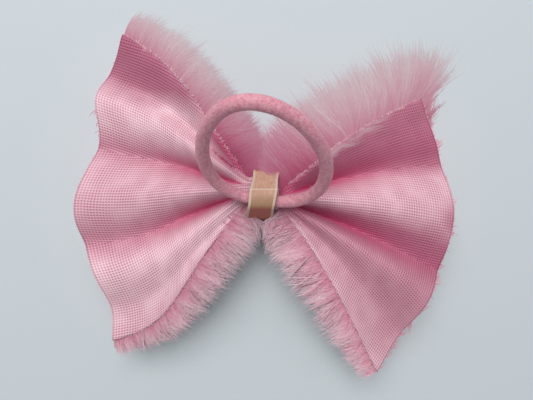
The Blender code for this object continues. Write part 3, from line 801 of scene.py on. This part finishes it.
def lock_roots(facts, clumps, per_clump, chance):
    """Each lock's share of the way along the edge, its depth from 0 to 1 and its root.

    A clump's locks spread about one place by a millimetre or so. Depth 0 is the cut edge and
    depth 1 the inner side of the band that the locks grow in."""
    share = np.clip(chance.uniform(-0.015, 1.015, clumps), 0, 1)
    deep = chance.random(clumps) ** 1.35
    share, deep = np.repeat(share, per_clump), np.repeat(deep, per_clump)
    wing, edge = facts["wing"], facts["edge"]
    whole = wing_surface(wing, *on_edge(edge, share, np.full_like(share, 0.02))) \
        - wing_surface(wing, *on_edge(edge, share, np.full_like(share, 0.98)))
    band = np.minimum(facts.get("band", BAND) / np.linalg.norm(whole, axis=1), 0.45)
    spread = chance.normal(0, 1, (len(share), 2))
    at = np.clip(share + spread[:, 0] * 0.010, 0, 1)
    inward = np.clip(deep * band + spread[:, 1] * 0.005, 0.0, 0.6)
    root, up = wing_frame(wing, *on_edge(edge, at, inward))
    return share, deep, root - up * UNDERSIDE


def lock_headings(facts, share, deep, clumps, per_clump, seed, chance):
    """The level way each lock points: away from the edge, with a slow and a random sway."""
    slow = np.sin(share * 23 + seed) + 0.6 * np.sin(share * 51 + 2 * seed + 4 * deep)
    sway = 0.16 * slow + by_clump(chance, 0, 0.17, clumps, per_clump)
    sway = sway + chance.normal(0, 0.07, len(share))
    sway = sway + facts.get("turn", 0.0) * share ** 4
    return turned(outward(facts["wing"], facts["edge"], share), sway)


def lock_lengths(facts, share, deep, clumps, per_clump, chance):
    """The edge's own reach at the cut and the full pile deeper in. Plush edges mix lengths."""
    near, far = facts["reach"]
    reach = (near + (far - near) * share ** 1.5) * MM
    length = (reach + (PILE_LENGTH - reach) * smooth_step(deep * 1.3))
    length *= by_clump(chance, 1, 0.10, clumps, per_clump)
    length *= np.clip(chance.normal(1, 0.09, len(share)), 0.6, 1.3)
    return length * (1 - 0.62 * facts["plush"] * chance.random(len(share)) ** 1.2)


def locks_on(name, clumps, per_clump, seed):
    """The paths of the locks that spill over one edge, and their shades from dark 0 to pale 1.

    A clump's locks draw together to a third of their spread at the tip. A lock's shade is darker
    the deeper it is rooted and, on an upper edge, near the waist: painted shade, with random tone
    on top."""
    chance = np.random.default_rng(seed)
    facts = EDGES[name]
    wing, edge, plush = facts["wing"], facts["edge"], facts["plush"]
    share, deep, root = lock_roots(facts, clumps, per_clump, chance)
    count = len(share)
    level = lock_headings(facts, share, deep, clumps, per_clump, seed, chance)
    length = lock_lengths(facts, share, deep, clumps, per_clump, chance)
    first, last = facts["drop"]
    fall = first + (last - first) * share
    fall = np.radians(fall + deep * (HANGING - fall) + chance.normal(0, 5, count))
    fall += by_clump(chance, 0, 0.10, clumps, per_clump)
    rise = np.radians(facts.get("rise", 28 + 16 * plush)) * (1 - 0.5 * deep)
    bend = root + slanted(level, fall - rise) * (0.55 * length)[:, None]
    tip = root + slanted(level, fall) * length[:, None]
    heart = root.reshape(clumps, per_clump, 3).mean(axis=1)
    stray = root - np.repeat(heart, per_clump, axis=0)
    path = lock_paths(root, bend - 0.30 * stray, tip - 0.72 * stray)
    middle = -3.2 * chance.random(count)[:, None] ** 2
    if edge == "lower":
        middle = 3.6 * chance.random(count)[:, None] - 0.9
    path = kept_clear(wing, path, 0.3 + middle)
    # Painted shade: locks rooted deep, and on an upper edge those near the waist, get darker
    # colours.
    waist_shade = 0.80 * (1 - smooth_step(share / 0.62)) if edge == "upper" else 0.0
    shade = 0.72 - 0.40 * deep - waist_shade
    mixed = 0.06 + 0.12 * plush
    shade += by_clump(chance, 0, mixed, clumps, per_clump)
    shade += chance.normal(0, mixed, count)
    return path, shade


def add_fur(name, layer, clumps, per_clump, seed, radius):
    """Locks along one edge as a piece that moves with its wing.

    Real fibres let light through. So only the under layers of the lower edges cast shadows,
    and the other locks leave what is under them as bright as translucent fibres would."""
    path, shade = locks_on(name, clumps, per_clump, seed)
    chance = np.random.default_rng(seed + 100)
    radii = radius * np.clip(chance.normal(1, 0.2, len(path)), 0.5, 1.6)
    mesh = lock_mesh(f"{name}_{layer}_fur", path, radii, shade)
    # The upper edges wear the darker copy of the fur: painted shade.
    piece = add_piece(mesh.name, mesh, SHADED_FUR if "upper" in name else FUR)
    piece.visible_shadow = layer == "under" and "upper" not in name
    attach(piece, name.split("_")[0] + "_wing")
    print(piece.name, len(path), "locks")
    return piece


THIN = 1.0
for number, name in enumerate(("left_upper", "left_lower", "right_upper", "right_lower")):
    add_fur(name, "under", int(930 * THIN), 10, 11 + number, 0.125 * MM)
    add_fur(name, "over", int(1800 * THIN), 6, 21 + number, 0.085 * MM)
for number, name in enumerate(("left_outer", "right_outer")):
    add_fur(name, "over", int(1050 * THIN), 9, 31 + number, 0.16 * MM)

# %% [markdown]
# ### Stray fibres
#
# Two small things tell cloth from plastic here. The cut edges shed short, pale ends of thread,
# and on the right wing a few fibres of the fluffy roll have strayed back over the cloth.

# %% Frayed ends and strays
def thread_end_finish():
    """Pale ends of the backing's threads."""
    finish = Finish("thread_ends", Roughness=0.5, Specular_IOR_Level=0.4, Sheen_Weight=0.2)
    shade, along = finish.uv("OFBake")
    colour = finish.blend(shade, (0.66, 0.40, 0.46), (0.84, 0.70, 0.73))
    finish.paint(finish.blend(along.step(0.0, 0.4), (0.62, 0.25, 0.35), colour))
    return finish


THREAD_ENDS = thread_end_finish()


def add_fray(body, wing, count, seed):
    """Short bent thread ends along the three cut edges, most of them in the cloth's plane."""
    chance = np.random.default_rng(seed)
    share = chance.random(count)
    which = chance.integers(0, 3, count)[:, None]
    pull = chance.random(count) * 0.004
    lines, ways = [], []
    for edge in ("lower", "outer", "upper"):
        here, up = wing_frame(wing, *on_edge(edge, share, pull))
        lines.append(here + up * 0.2 * MM)
        ways.append(outward(wing, edge, share))
    root, away = [np.choose(which, three) for three in (lines, ways)]
    away = turned(away, chance.normal(0, 0.7, count))
    away[:, 2] += chance.normal(0.15, 0.3, count)
    length = (0.35 + 1.25 * chance.random(count) ** 2.5) * MM
    tip = root + unit(away) * length[:, None]
    bend = (root + tip) / 2 + chance.normal(0, 0.18, (count, 3)) * length[:, None]
    path = lock_paths(root, bend, tip)
    mesh = lock_mesh(body + "_frayed_ends", path, np.full(count, 0.05 * MM),
                     chance.random(count))
    piece = add_piece(body + "_frayed_ends", mesh, THREAD_ENDS)
    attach(piece, body)
    print(piece.name, count, "ends")
    return piece


def add_strays(clumps, per_clump, seed):
    """Tufts of single fibres that lie back from the right wing's upper edge over its cloth.

    A tuft starts on the cut edge and sweeps outward: v = 1 - back sin(90 degrees t)."""
    chance = np.random.default_rng(seed)
    start = np.repeat(chance.uniform(0.20, 0.66, clumps), per_clump)
    count = len(start)
    back = np.repeat(chance.uniform(0.02, 0.11, clumps), per_clump)
    back *= (1.15 - start) * chance.uniform(0.3, 1.0, count)
    sweep = np.repeat(chance.normal(0.09, 0.05, clumps), per_clump)
    sweep += chance.normal(0, 0.02, count)
    path = []
    for t in LEVELS:
        u = np.clip(start + sweep * t + 0.012 * np.sin(start * 300) * t ** 2, 0, 1)
        v = 1 - back * np.sin(1.5708 * t)
        here, up = wing_frame(RIGHT_WING, u, np.clip(v, 0, 1))
        path.append(here + up * (0.55 + 0.8 * t * chance.random(count)[:, None]) * MM)
    path = np.stack(path, axis=1)
    mesh = lock_mesh("right_wing_strays", path, np.full(count, 0.035 * MM),
                     0.40 + 0.4 * chance.random(count))
    piece = add_piece("right_wing_strays", mesh, SHADED_FUR)
    piece.visible_shadow = False
    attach(piece, "right_wing")
    return piece


for number, (body, wing) in enumerate(WINGS):
    add_fray(body, wing, 1500, 41 + number)
add_strays(24, 14, 51)

# %% [markdown]
# ### The bed of the pile
#
# Under the cloth the pile is packed so densely that nothing shows between the fibres. That
# hidden mass is one closed pillow for each wing, a little smaller than the fur around it, and
# its finish is streaked from top to bottom like combed fibres.

# %% The pillow of packed pile
def bed_finish():
    """Packed pile, seen between the locks: rose streaks."""
    finish = Finish("packed_pile", Roughness=0.8, Specular_IOR_Level=0.15,
                    Sheen_Weight=0.4, Sheen_Roughness=0.6)
    streak = finish.noise(finish.point((1.0, 1.0, 0.12)), 0.5 * MM, 3.0, 0.7)
    tuft = finish.noise(finish.point((1.0, 1.0, 0.35)), 3.0 * MM, 2.0)
    colour = finish.blend(streak.step(0.3, 0.7), (0.50, 0.15, 0.24), (0.72, 0.38, 0.46))
    finish.paint(finish.blend(tuft.step(0.4, 0.7) * 0.5, colour, (0.80, 0.50, 0.57)))
    finish.bump(streak * 0.6 + tuft * 0.4, 1.2 * MM, 0.9)
    return finish


BED = bed_finish()
BED_ROWS, BED_COLUMNS = 56, 76


def add_bed(body, wing):
    """A pillow under the cloth: its depth is full inside and falls to nothing at the edges.

    Depth share: (1 - |2u-1|^9)^(1/2.5) times the same in v."""
    u, v = grid_values(BED_ROWS, BED_COLUMNS)
    inner = 0.03 + 0.94 * u, 0.03 + 0.94 * v
    top = wing_surface(wing, *inner)
    top[..., 2] -= 1.0 * MM
    share = np.ones_like(u)
    for place in (u, v):
        share = share * np.maximum(1 - np.abs(2 * place - 1) ** 9, 0) ** 0.4
    tuft = np.sin(u * 41 + 3 * v) * np.sin(v * 53 + 2 * u) * 0.7 * MM
    floor = 1.4 * MM + tuft
    low = top.copy()
    low[..., 2] = top[..., 2] + (floor - top[..., 2]) * share
    points = np.concatenate([top.reshape(-1, 3), low.reshape(-1, 3)])
    quads = grid_faces(BED_ROWS, BED_COLUMNS)
    under = quads[:, ::-1] + top[..., 0].size
    faces = np.concatenate([quads, under])
    mesh = mesh_of(body + "_pile_bed", points, faces)
    closing = bmesh.new()
    closing.from_mesh(mesh)
    bmesh.ops.remove_doubles(closing, verts=closing.verts, dist=1e-6)
    bmesh.ops.recalc_face_normals(closing, faces=closing.faces)
    closing.to_mesh(mesh)
    closing.free()
    piece = add_piece(body + "_pile_bed", mesh, BED)
    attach(piece, body)
    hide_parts(body + "_pile")
    print(piece.name, len(mesh.polygons), "faces")


for body, wing in WINGS:
    add_bed(body, wing)

# %% [markdown]
# ## The elastic ring
#
# The ring is a rubber core in a brushed, suede-like cover. Its centreline is an ellipse, flatter
# where the ribbon holds it, that leans to one side at its far end. A circle of points carried
# along that line makes the cover, and a slow waviness keeps it from looking like pipe.

# %% The cover of the ring
CORD_RADIUS = 2.25 * MM
RING_BREADTH, RING_HEIGHT, RING_FLATNESS, RING_LEAN = 0.0408, 0.0506, 1.25, 0.0045
RING_TILT, RING_YAW = math.radians(-30.5), math.radians(-8)


def ring_line(turn):
    """The ring's centreline in the frame's own space; turn 0 is under the ribbon.

    In its own plane: half the breadth times sine, less a lean, by the height times a power
    of the rise. The plane then tilts about X and turns about Z."""
    angle = 2 * math.pi * turn
    rise = ((1 - np.cos(angle)) / 2) ** RING_FLATNESS
    across = RING_BREADTH / 2 * np.sin(angle) - RING_LEAN * rise ** 2
    height = RING_HEIGHT * rise
    y, z = -np.sin(RING_TILT) * height, np.cos(RING_TILT) * height
    c, s = math.cos(RING_YAW), math.sin(RING_YAW)
    return RING_PIVOT + np.stack([c * across - s * y, s * across + c * y, z], axis=-1)


def ring_frame(turn):
    """The ways along the ring's centreline, out of its curve and across its plane."""
    step = 1e-4
    along = unit(ring_line(turn + step) - ring_line(turn - step))
    foot, side, top = ring_line(np.array([0.0, 0.25, 0.5]))
    plane = unit(np.cross(side - foot, top - foot))
    return along, unit(np.cross(along, plane)), plane


def ring_tube(turns, sides, radius):
    """Circles of points round the centreline. The radius is a function of turn and angle."""
    _, aside, plane = ring_frame(turns)
    angle = 2 * math.pi * np.arange(sides) / sides
    spoke = np.cos(angle)[None, :, None] * aside[:, None] \
        + np.sin(angle)[None, :, None] * plane[None, None]
    reach = radius(turns[:, None], angle[None, :])
    return ring_line(turns)[:, None] + reach[..., None] * spoke


def cover_radius(turn, angle):
    """The cover's radius, with soft dents a few millimetres long."""
    dents = np.sin(turn * 120 + 2 * np.sin(angle + 1)) + np.sin(turn * 57 + angle * 2)
    return CORD_RADIUS * (1 + 0.012 * dents)


def suede_finish():
    """Brushed suede: mottled pink with a fine nap that lightens where it faces away."""
    finish = Finish("suede_cover", Roughness=0.9, Specular_IOR_Level=0.12,
                    Sheen_Weight=0.30, Sheen_Roughness=0.45)
    finish.shader.inputs["Sheen Tint"].default_value = (1.0, 0.72, 0.78, 1.0)
    nap = finish.noise(finish.point(), 0.50 * MM, 3.0, 0.65)
    brushed = finish.noise(finish.point((1.0, 0.7, 0.6)), 1.1 * MM, 3.0)
    mottle = finish.noise(finish.point(), 5.5 * MM, 2.0)
    colour = finish.blend(nap.step(0.3, 0.7), (0.54, 0.18, 0.25), (0.72, 0.35, 0.41))
    colour = finish.blend(brushed.step(0.4, 0.7) * 0.45, colour, (0.78, 0.45, 0.50))
    finish.paint(finish.blend(mottle.step(0.45, 0.75) * 0.3, colour, (0.56, 0.21, 0.29)))
    finish.bump(nap * 0.7 + brushed * 0.5, 0.45 * MM, 0.9)
    return finish


SUEDE = suede_finish()
RING_TURNS, RING_SIDES = 360, 40
turns = np.arange(RING_TURNS) / RING_TURNS
tube = ring_tube(turns, RING_SIDES, cover_radius)
mesh = mesh_of("ring_cover", tube, grid_faces(RING_TURNS, RING_SIDES, True, True)[:, ::-1])
cover = add_piece("ring_cover", mesh, SUEDE)
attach(cover, "ring")
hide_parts("elastic_sheath", "elastic_joint")
print("ring cover", len(mesh.polygons), "faces")

# %% [markdown]
# A closer look at brushed suede shows a fuzz of short fibres that catches the light along
# every outline. The same locks as the fur's, only half a millimetre long, give the cover that
# edge.

# %% The nap of the ring
def add_nap(count, seed):
    """Short fibres that stand out of the cover and are swept along it."""
    chance = np.random.default_rng(seed)
    turn, angle = chance.random(count), chance.random(count) * 2 * math.pi
    along, aside, plane = ring_frame(turn)
    spoke = np.cos(angle)[:, None] * aside + np.sin(angle)[:, None] * plane
    root = ring_line(turn) + spoke * (CORD_RADIUS - 0.08 * MM)
    sweep = along * chance.normal(0.3, 0.5, count)[:, None] \
        + np.cross(along, spoke) * chance.normal(0, 0.5, count)[:, None]
    length = chance.uniform(0.25, 0.6, count)[:, None] * MM
    tip = root + unit(spoke * 0.8 + sweep) * length
    bend = root + spoke * length * 0.5
    path = lock_paths(root, bend, tip)
    under_ribbon = np.abs(((turn + 0.5) % 1.0) - 0.5) < 0.075
    path = path[~under_ribbon]
    shade = chance.random(len(path))
    mesh = lock_mesh("ring_nap", path, np.full(len(path), 0.022 * MM), shade, False)
    return add_piece("ring_nap", mesh, NAP)


def nap_finish():
    """The nap's fibres: the cover's pink, lighter at the tips."""
    finish = Finish("suede_nap", Roughness=0.85, Specular_IOR_Level=0.1, Sheen_Weight=0.4)
    shade, along = finish.uv("OFBake")
    root = finish.blend(shade, (0.57, 0.19, 0.26), (0.68, 0.28, 0.34))
    tip = finish.blend(shade, (0.70, 0.31, 0.37), (0.84, 0.50, 0.55))
    finish.paint(finish.blend(along.step(0.1, 0.9), root, tip))
    return finish


NAP = nap_finish()
nap = add_nap(4500, 31)
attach(nap, "ring")

# %% [markdown]
# ## The velvet ribbon
#
# The ribbon is 10 mm wide. It runs round the gathers and the ring a little more than once and
# ends on its own first layer, just behind the bow's waist. A taut band round a group of shapes
# is their convex outline, and the convex outline has a short formula: in each direction it
# reaches the least, over all facings, of the furthest extent that way divided by the cosine
# between the two.

# %% The way round the waist
RIBBON_WIDTH, RIBBON_THICKNESS = 0.0100, 0.0007
RIBBON_TURNS, RIBBON_END = 1.22, math.radians(80)
BUNDLE_MIDDLE = (waist_low[2] + waist_high[2]) / 2
BUNDLE_HALF = (waist_high[1] - waist_low[1]) / 2, (waist_high[2] - waist_low[2]) / 2


def bundle_points(grow):
    """Y and Z of the gathered waist's outline, grown all round: a superellipse."""
    angle = np.linspace(0, 2 * math.pi, 241)[:-1]
    c, s = np.cos(angle), np.sin(angle)
    return np.stack([(BUNDLE_HALF[0] + grow) * np.sign(c) * np.abs(c) ** 0.8,
                     (BUNDLE_HALF[1] + grow) * np.sign(s) * np.abs(s) ** 0.8], axis=1)


def tightened(points):
    """Points with the waist's lower side drawn in: what is past 3 mm down, by about a third."""
    down = -3 * MM - (points[..., 1] - WAIST[1])
    points[..., 1] += np.maximum(down, 0) * 0.34
    return points


def band_reach(bearing, off):
    """How far a taut band round the bundle and the ring's cord lies from the bundle's middle."""
    facing = np.linspace(0, 2 * math.pi, 721)[:-1]
    ways = np.stack([np.cos(facing), np.sin(facing)])
    extent = (bundle_points(1.2 * MM + off) @ ways).max(axis=0)
    cord = np.array([RING_PIVOT[1] - WAIST[1], RING_PIVOT[2] - BUNDLE_MIDDLE])
    slant = RIBBON_WIDTH / 2 * math.tan(-RING_YAW)
    for aside in (slant, -slant):
        reach = (cord + np.array([aside, 0.0])) @ ways + CORD_RADIUS + 0.7 * MM + off
        extent = np.maximum(extent, reach)
    between = np.cos(bearing[..., None] - facing)
    return np.where(between > 0.05, extent / np.maximum(between, 0.05), np.inf).min(axis=-1)


def ribbon_surface(u, v):
    """The middle of the ribbon: u across it, v along it from its inner to its outer end."""
    turn = RIBBON_TURNS * v
    bearing = RIBBON_END + 2 * math.pi * (RIBBON_TURNS - turn)
    inner = band_reach(bearing, 0.3 * MM + RIBBON_THICKNESS / 2)
    outer = band_reach(bearing, 0.7 * MM + 1.5 * RIBBON_THICKNESS)
    lifted = smooth_step((turn - 0.60) / 0.35)
    reach = inner + (outer - inner) * lifted
    y, z = reach * np.cos(bearing), reach * np.sin(bearing)
    pinch = 0.15 * MM * np.sin(turn * 37) * (2 * u - 1)
    x = (u - 0.5) * RIBBON_WIDTH + y * math.tan(-RING_YAW) + pinch
    return tightened(WAIST + np.stack([x, y, z + BUNDLE_MIDDLE - WAIST[2]], axis=-1))


# %% Velvet
def velvet_finish():
    """Velvet ribbon: a combed pile between two shiny selvedges, and a pale cut end, partly a
    painted highlight.

    Painted shade makes it darker on the waist's lower side and red-brown where it turns down round
    the waist."""
    finish = Finish("velvet_ribbon", Roughness=0.7, Specular_IOR_Level=0.25,
                    Sheen_Weight=0.45, Sheen_Roughness=0.35)
    finish.shader.inputs["Sheen Tint"].default_value = (1.0, 0.80, 0.70, 1.0)
    across, along = finish.uv("ribbon")
    streak = finish.noise(finish.join(across, along * 0.08), 0.22 * MM, 3.0, 0.6)
    crushed = finish.noise(finish.join(across, along), 2.4 * MM, 3.0, 0.6)
    colour = finish.blend(streak.step(0.25, 0.75), (0.44, 0.24, 0.165), (0.60, 0.37, 0.27))
    colour = finish.blend(crushed.step(0.4, 0.65) * 0.35, colour, (0.64, 0.42, 0.32))
    # Painted shade: darker and browner below the waist's middle, where the ribbon turns from the
    # light.
    up_bow = finish.node("ShaderNodeSeparateXYZ", {}, {0: finish.point()}, output=1)
    up_bow = up_bow - WAIST[1]
    colour = finish.blend(up_bow.step(2 * MM, -3 * MM) * 0.75, colour, (0.30, 0.17, 0.09))
    # Painted shade: red-brown where the ribbon turns down round the waist.
    low_turn = up_bow.step(-3.2 * MM, -5.8 * MM)
    high_turn = up_bow.step(9.2 * MM, 10.8 * MM)
    colour = finish.blend((low_turn + high_turn).clamp() * 0.92, colour, (0.37, 0.06, 0.045))
    middle = RIBBON_WIDTH / 2
    edge = (across - middle).maths("ABSOLUTE")
    selvedge = edge.step(middle - 1.05 * MM, middle - 0.75 * MM)
    cord = (along.wave(0.55 * MM) * 0.5 + 0.5)
    colour = finish.blend(selvedge * cord, colour, (0.68, 0.54, 0.43))
    # The cut end is pale: frayed threads, and a painted highlight where the cut catches the light.
    ragged = along + finish.noise(finish.join(across, 0.0), 0.5 * MM, 2.0) * 0.5 * MM
    last = ragged.step(RIBBON_LENGTH - 0.35 * MM, RIBBON_LENGTH - 0.05 * MM)
    finish.paint(finish.blend(last * 0.9, colour, (0.78, 0.62, 0.52)))
    finish.bump(streak * 0.6 + crushed * 0.4 + selvedge * cord * 0.6, 0.30 * MM, 0.7)
    return finish


RIBBON_ROWS, RIBBON_COLUMNS = 420, 25
v, u = grid_values(RIBBON_ROWS, RIBBON_COLUMNS)
points = ribbon_surface(u, v)
steps = np.linalg.norm(np.diff(points[:, RIBBON_COLUMNS // 2], axis=0), axis=1)
run = np.concatenate([[0.0], np.cumsum(steps)])
RIBBON_LENGTH = float(run[-1])
faces = grid_faces(RIBBON_ROWS, RIBBON_COLUMNS)
loops = np.stack([(u * RIBBON_WIDTH).ravel()[faces],
                  (run[:, None] + 0 * u).ravel()[faces]], axis=-1)
VELVET = velvet_finish()
mesh = mesh_of("velvet_ribbon", points, faces[:, ::-1], loops[:, ::-1], "ribbon")
ribbon = add_piece("velvet_ribbon", mesh, VELVET)
add_wall(ribbon, RIBBON_THICKNESS)
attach(ribbon, "waist")
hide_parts("centre_ribbon")
print("ribbon", round(RIBBON_LENGTH / MM, 1), "mm long")

# %% [markdown]
# ## The small parts
#
# The bead of glue and the rubber core keep the frame's own shapes. The gathers and the thread
# that ties them are copies of the frame's, drawn in on the waist's lower side as the ribbon is.
# Each gets a finish: the gathers show the same weave crushed into pleats, the thread is
# twisted, the glue is glossy and clouded, and the rubber is dusty.

# %% Finishes for the frame's own nodes
def gathers_finish():
    """The backing's weave, crushed, with painted shade, dark magenta, in the valleys of the
    pleats.
    """
    finish = Finish("gathered_backing", Roughness=0.7, Specular_IOR_Level=0.3,
                    Sheen_Weight=0.2, Sheen_Roughness=0.4)
    where = finish.point()
    place = finish.node("ShaderNodeSeparateXYZ", {}, {0: where})
    deep = finish.noise(finish.point((0.15, 1.0, 1.0)), 1.6 * MM, 2.0)
    rib = (place + deep * 2 * MM).wave(WEAVE_PITCH)
    yarn = finish.noise(where, 0.4 * MM, 2.0)
    # Painted shade: dark magenta where the pleats' height is low.
    colour = finish.blend(deep.step(0.35, 0.65), (0.38, 0.04, 0.12), (0.72, 0.34, 0.45))
    finish.paint(finish.blend(rib * yarn, colour, (0.88, 0.58, 0.66)))
    finish.bump(rib * 0.5 + deep, 0.5 * MM, 0.8)
    return finish


def thread_finish():
    """Twisted polyester thread, with painted shade in the grooves between its plies."""
    finish = Finish("sewing_thread", Roughness=0.45, Specular_IOR_Level=0.4, Sheen_Weight=0.2)
    where = finish.point()
    x, y = [finish.node("ShaderNodeSeparateXYZ", {}, {0: where}, output) for output in (0, 1)]
    ply = (x * 2.0 + y).wave(0.45 * MM)
    fuzz = finish.noise(where, 0.15 * MM, 2.0)
    # Painted shade: dark in the grooves of the twist, where the bump is low.
    finish.paint(finish.blend(ply * 0.7 + fuzz * 0.3, (0.45, 0.10, 0.18), (0.84, 0.48, 0.56)))
    finish.bump(ply, 0.15 * MM, 0.8)
    return finish


def glue_finish():
    """Clouded hot glue."""
    finish = Finish("hot_glue", Roughness=0.25, Specular_IOR_Level=0.5, Coat_Weight=0.3)
    cloud = finish.noise(finish.point(), 0.9 * MM, 3.0)
    finish.paint(finish.blend(cloud.step(0.3, 0.7), (0.70, 0.66, 0.58), (0.90, 0.88, 0.82)))
    finish.bump(cloud, 0.2 * MM, 0.4)
    return finish


def rubber_finish():
    """Bundled strands of white rubber, dusted with talc."""
    finish = Finish("rubber_core", Roughness=0.6, Specular_IOR_Level=0.3)
    dust = finish.noise(finish.point(), 0.6 * MM, 3.0)
    strand = finish.noise(finish.point((0.2, 1.0, 1.0)), 0.5 * MM, 1.0)
    finish.paint(finish.blend(dust.step(0.3, 0.7), (0.66, 0.62, 0.57), (0.86, 0.84, 0.80)))
    finish.bump(strand * 0.6 + dust * 0.4, 0.2 * MM, 0.5)
    return finish


def dress(name, finish):
    """Gives a node of the frame this finish in all of its slots."""
    slots = frame["nodes"][name].material_slots
    for place in slots:
        place.material = finish.material
    print(name, "wears", finish.material.name)


def drawn_in(name, node, finish):
    """A copy of a node's mesh, merged and tightened as the ribbon over it is."""
    copy = bmesh.new()
    copy.from_mesh(frame["nodes"][node].data)
    bmesh.ops.remove_doubles(copy, verts=copy.verts, dist=1e-6)
    mesh = bpy.data.meshes.new(name)
    copy.to_mesh(mesh)
    copy.free()
    points = np.zeros(len(mesh.vertices) * 3)
    mesh.vertices.foreach_get("co", points)
    mesh.vertices.foreach_set("co", tightened(points.reshape(-1, 3)).ravel())
    mesh.polygons.foreach_set("use_smooth", np.full(len(mesh.polygons), True))
    mesh.materials.clear()
    mesh.set_sharp_from_angle(angle=math.radians(35))
    piece = add_piece(name, mesh, finish)
    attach(piece, "waist")
    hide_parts(node)
    print(name, len(mesh.polygons), "faces")
    return piece


drawn_in("pleated_gathers", "waist_gathers", gathers_finish())
drawn_in("wound_thread", "binding_thread", thread_finish())
dress("glue_bead", glue_finish())
dress("elastic_core", rubber_finish())

# %% [markdown]
# ## The floor
#
# A plain, pale sheet of card under the bow, cool enough that the pink reads warm.

# %% The floor
floor_finish = Finish("pale_card", Roughness=0.85, Specular_IOR_Level=0.2)
grain = floor_finish.noise(floor_finish.point(), 1.5 * MM, 2.0)
floor_finish.paint(floor_finish.blend(grain, (0.515, 0.565, 0.592), (0.535, 0.585, 0.612)))
corners = np.array([[-1, -1, 0], [1, -1, 0], [1, 1, 0], [-1, 1, 0]], float)
card = add_piece("card", mesh_of("card", corners, np.array([[0, 1, 2, 3]])), floor_finish)
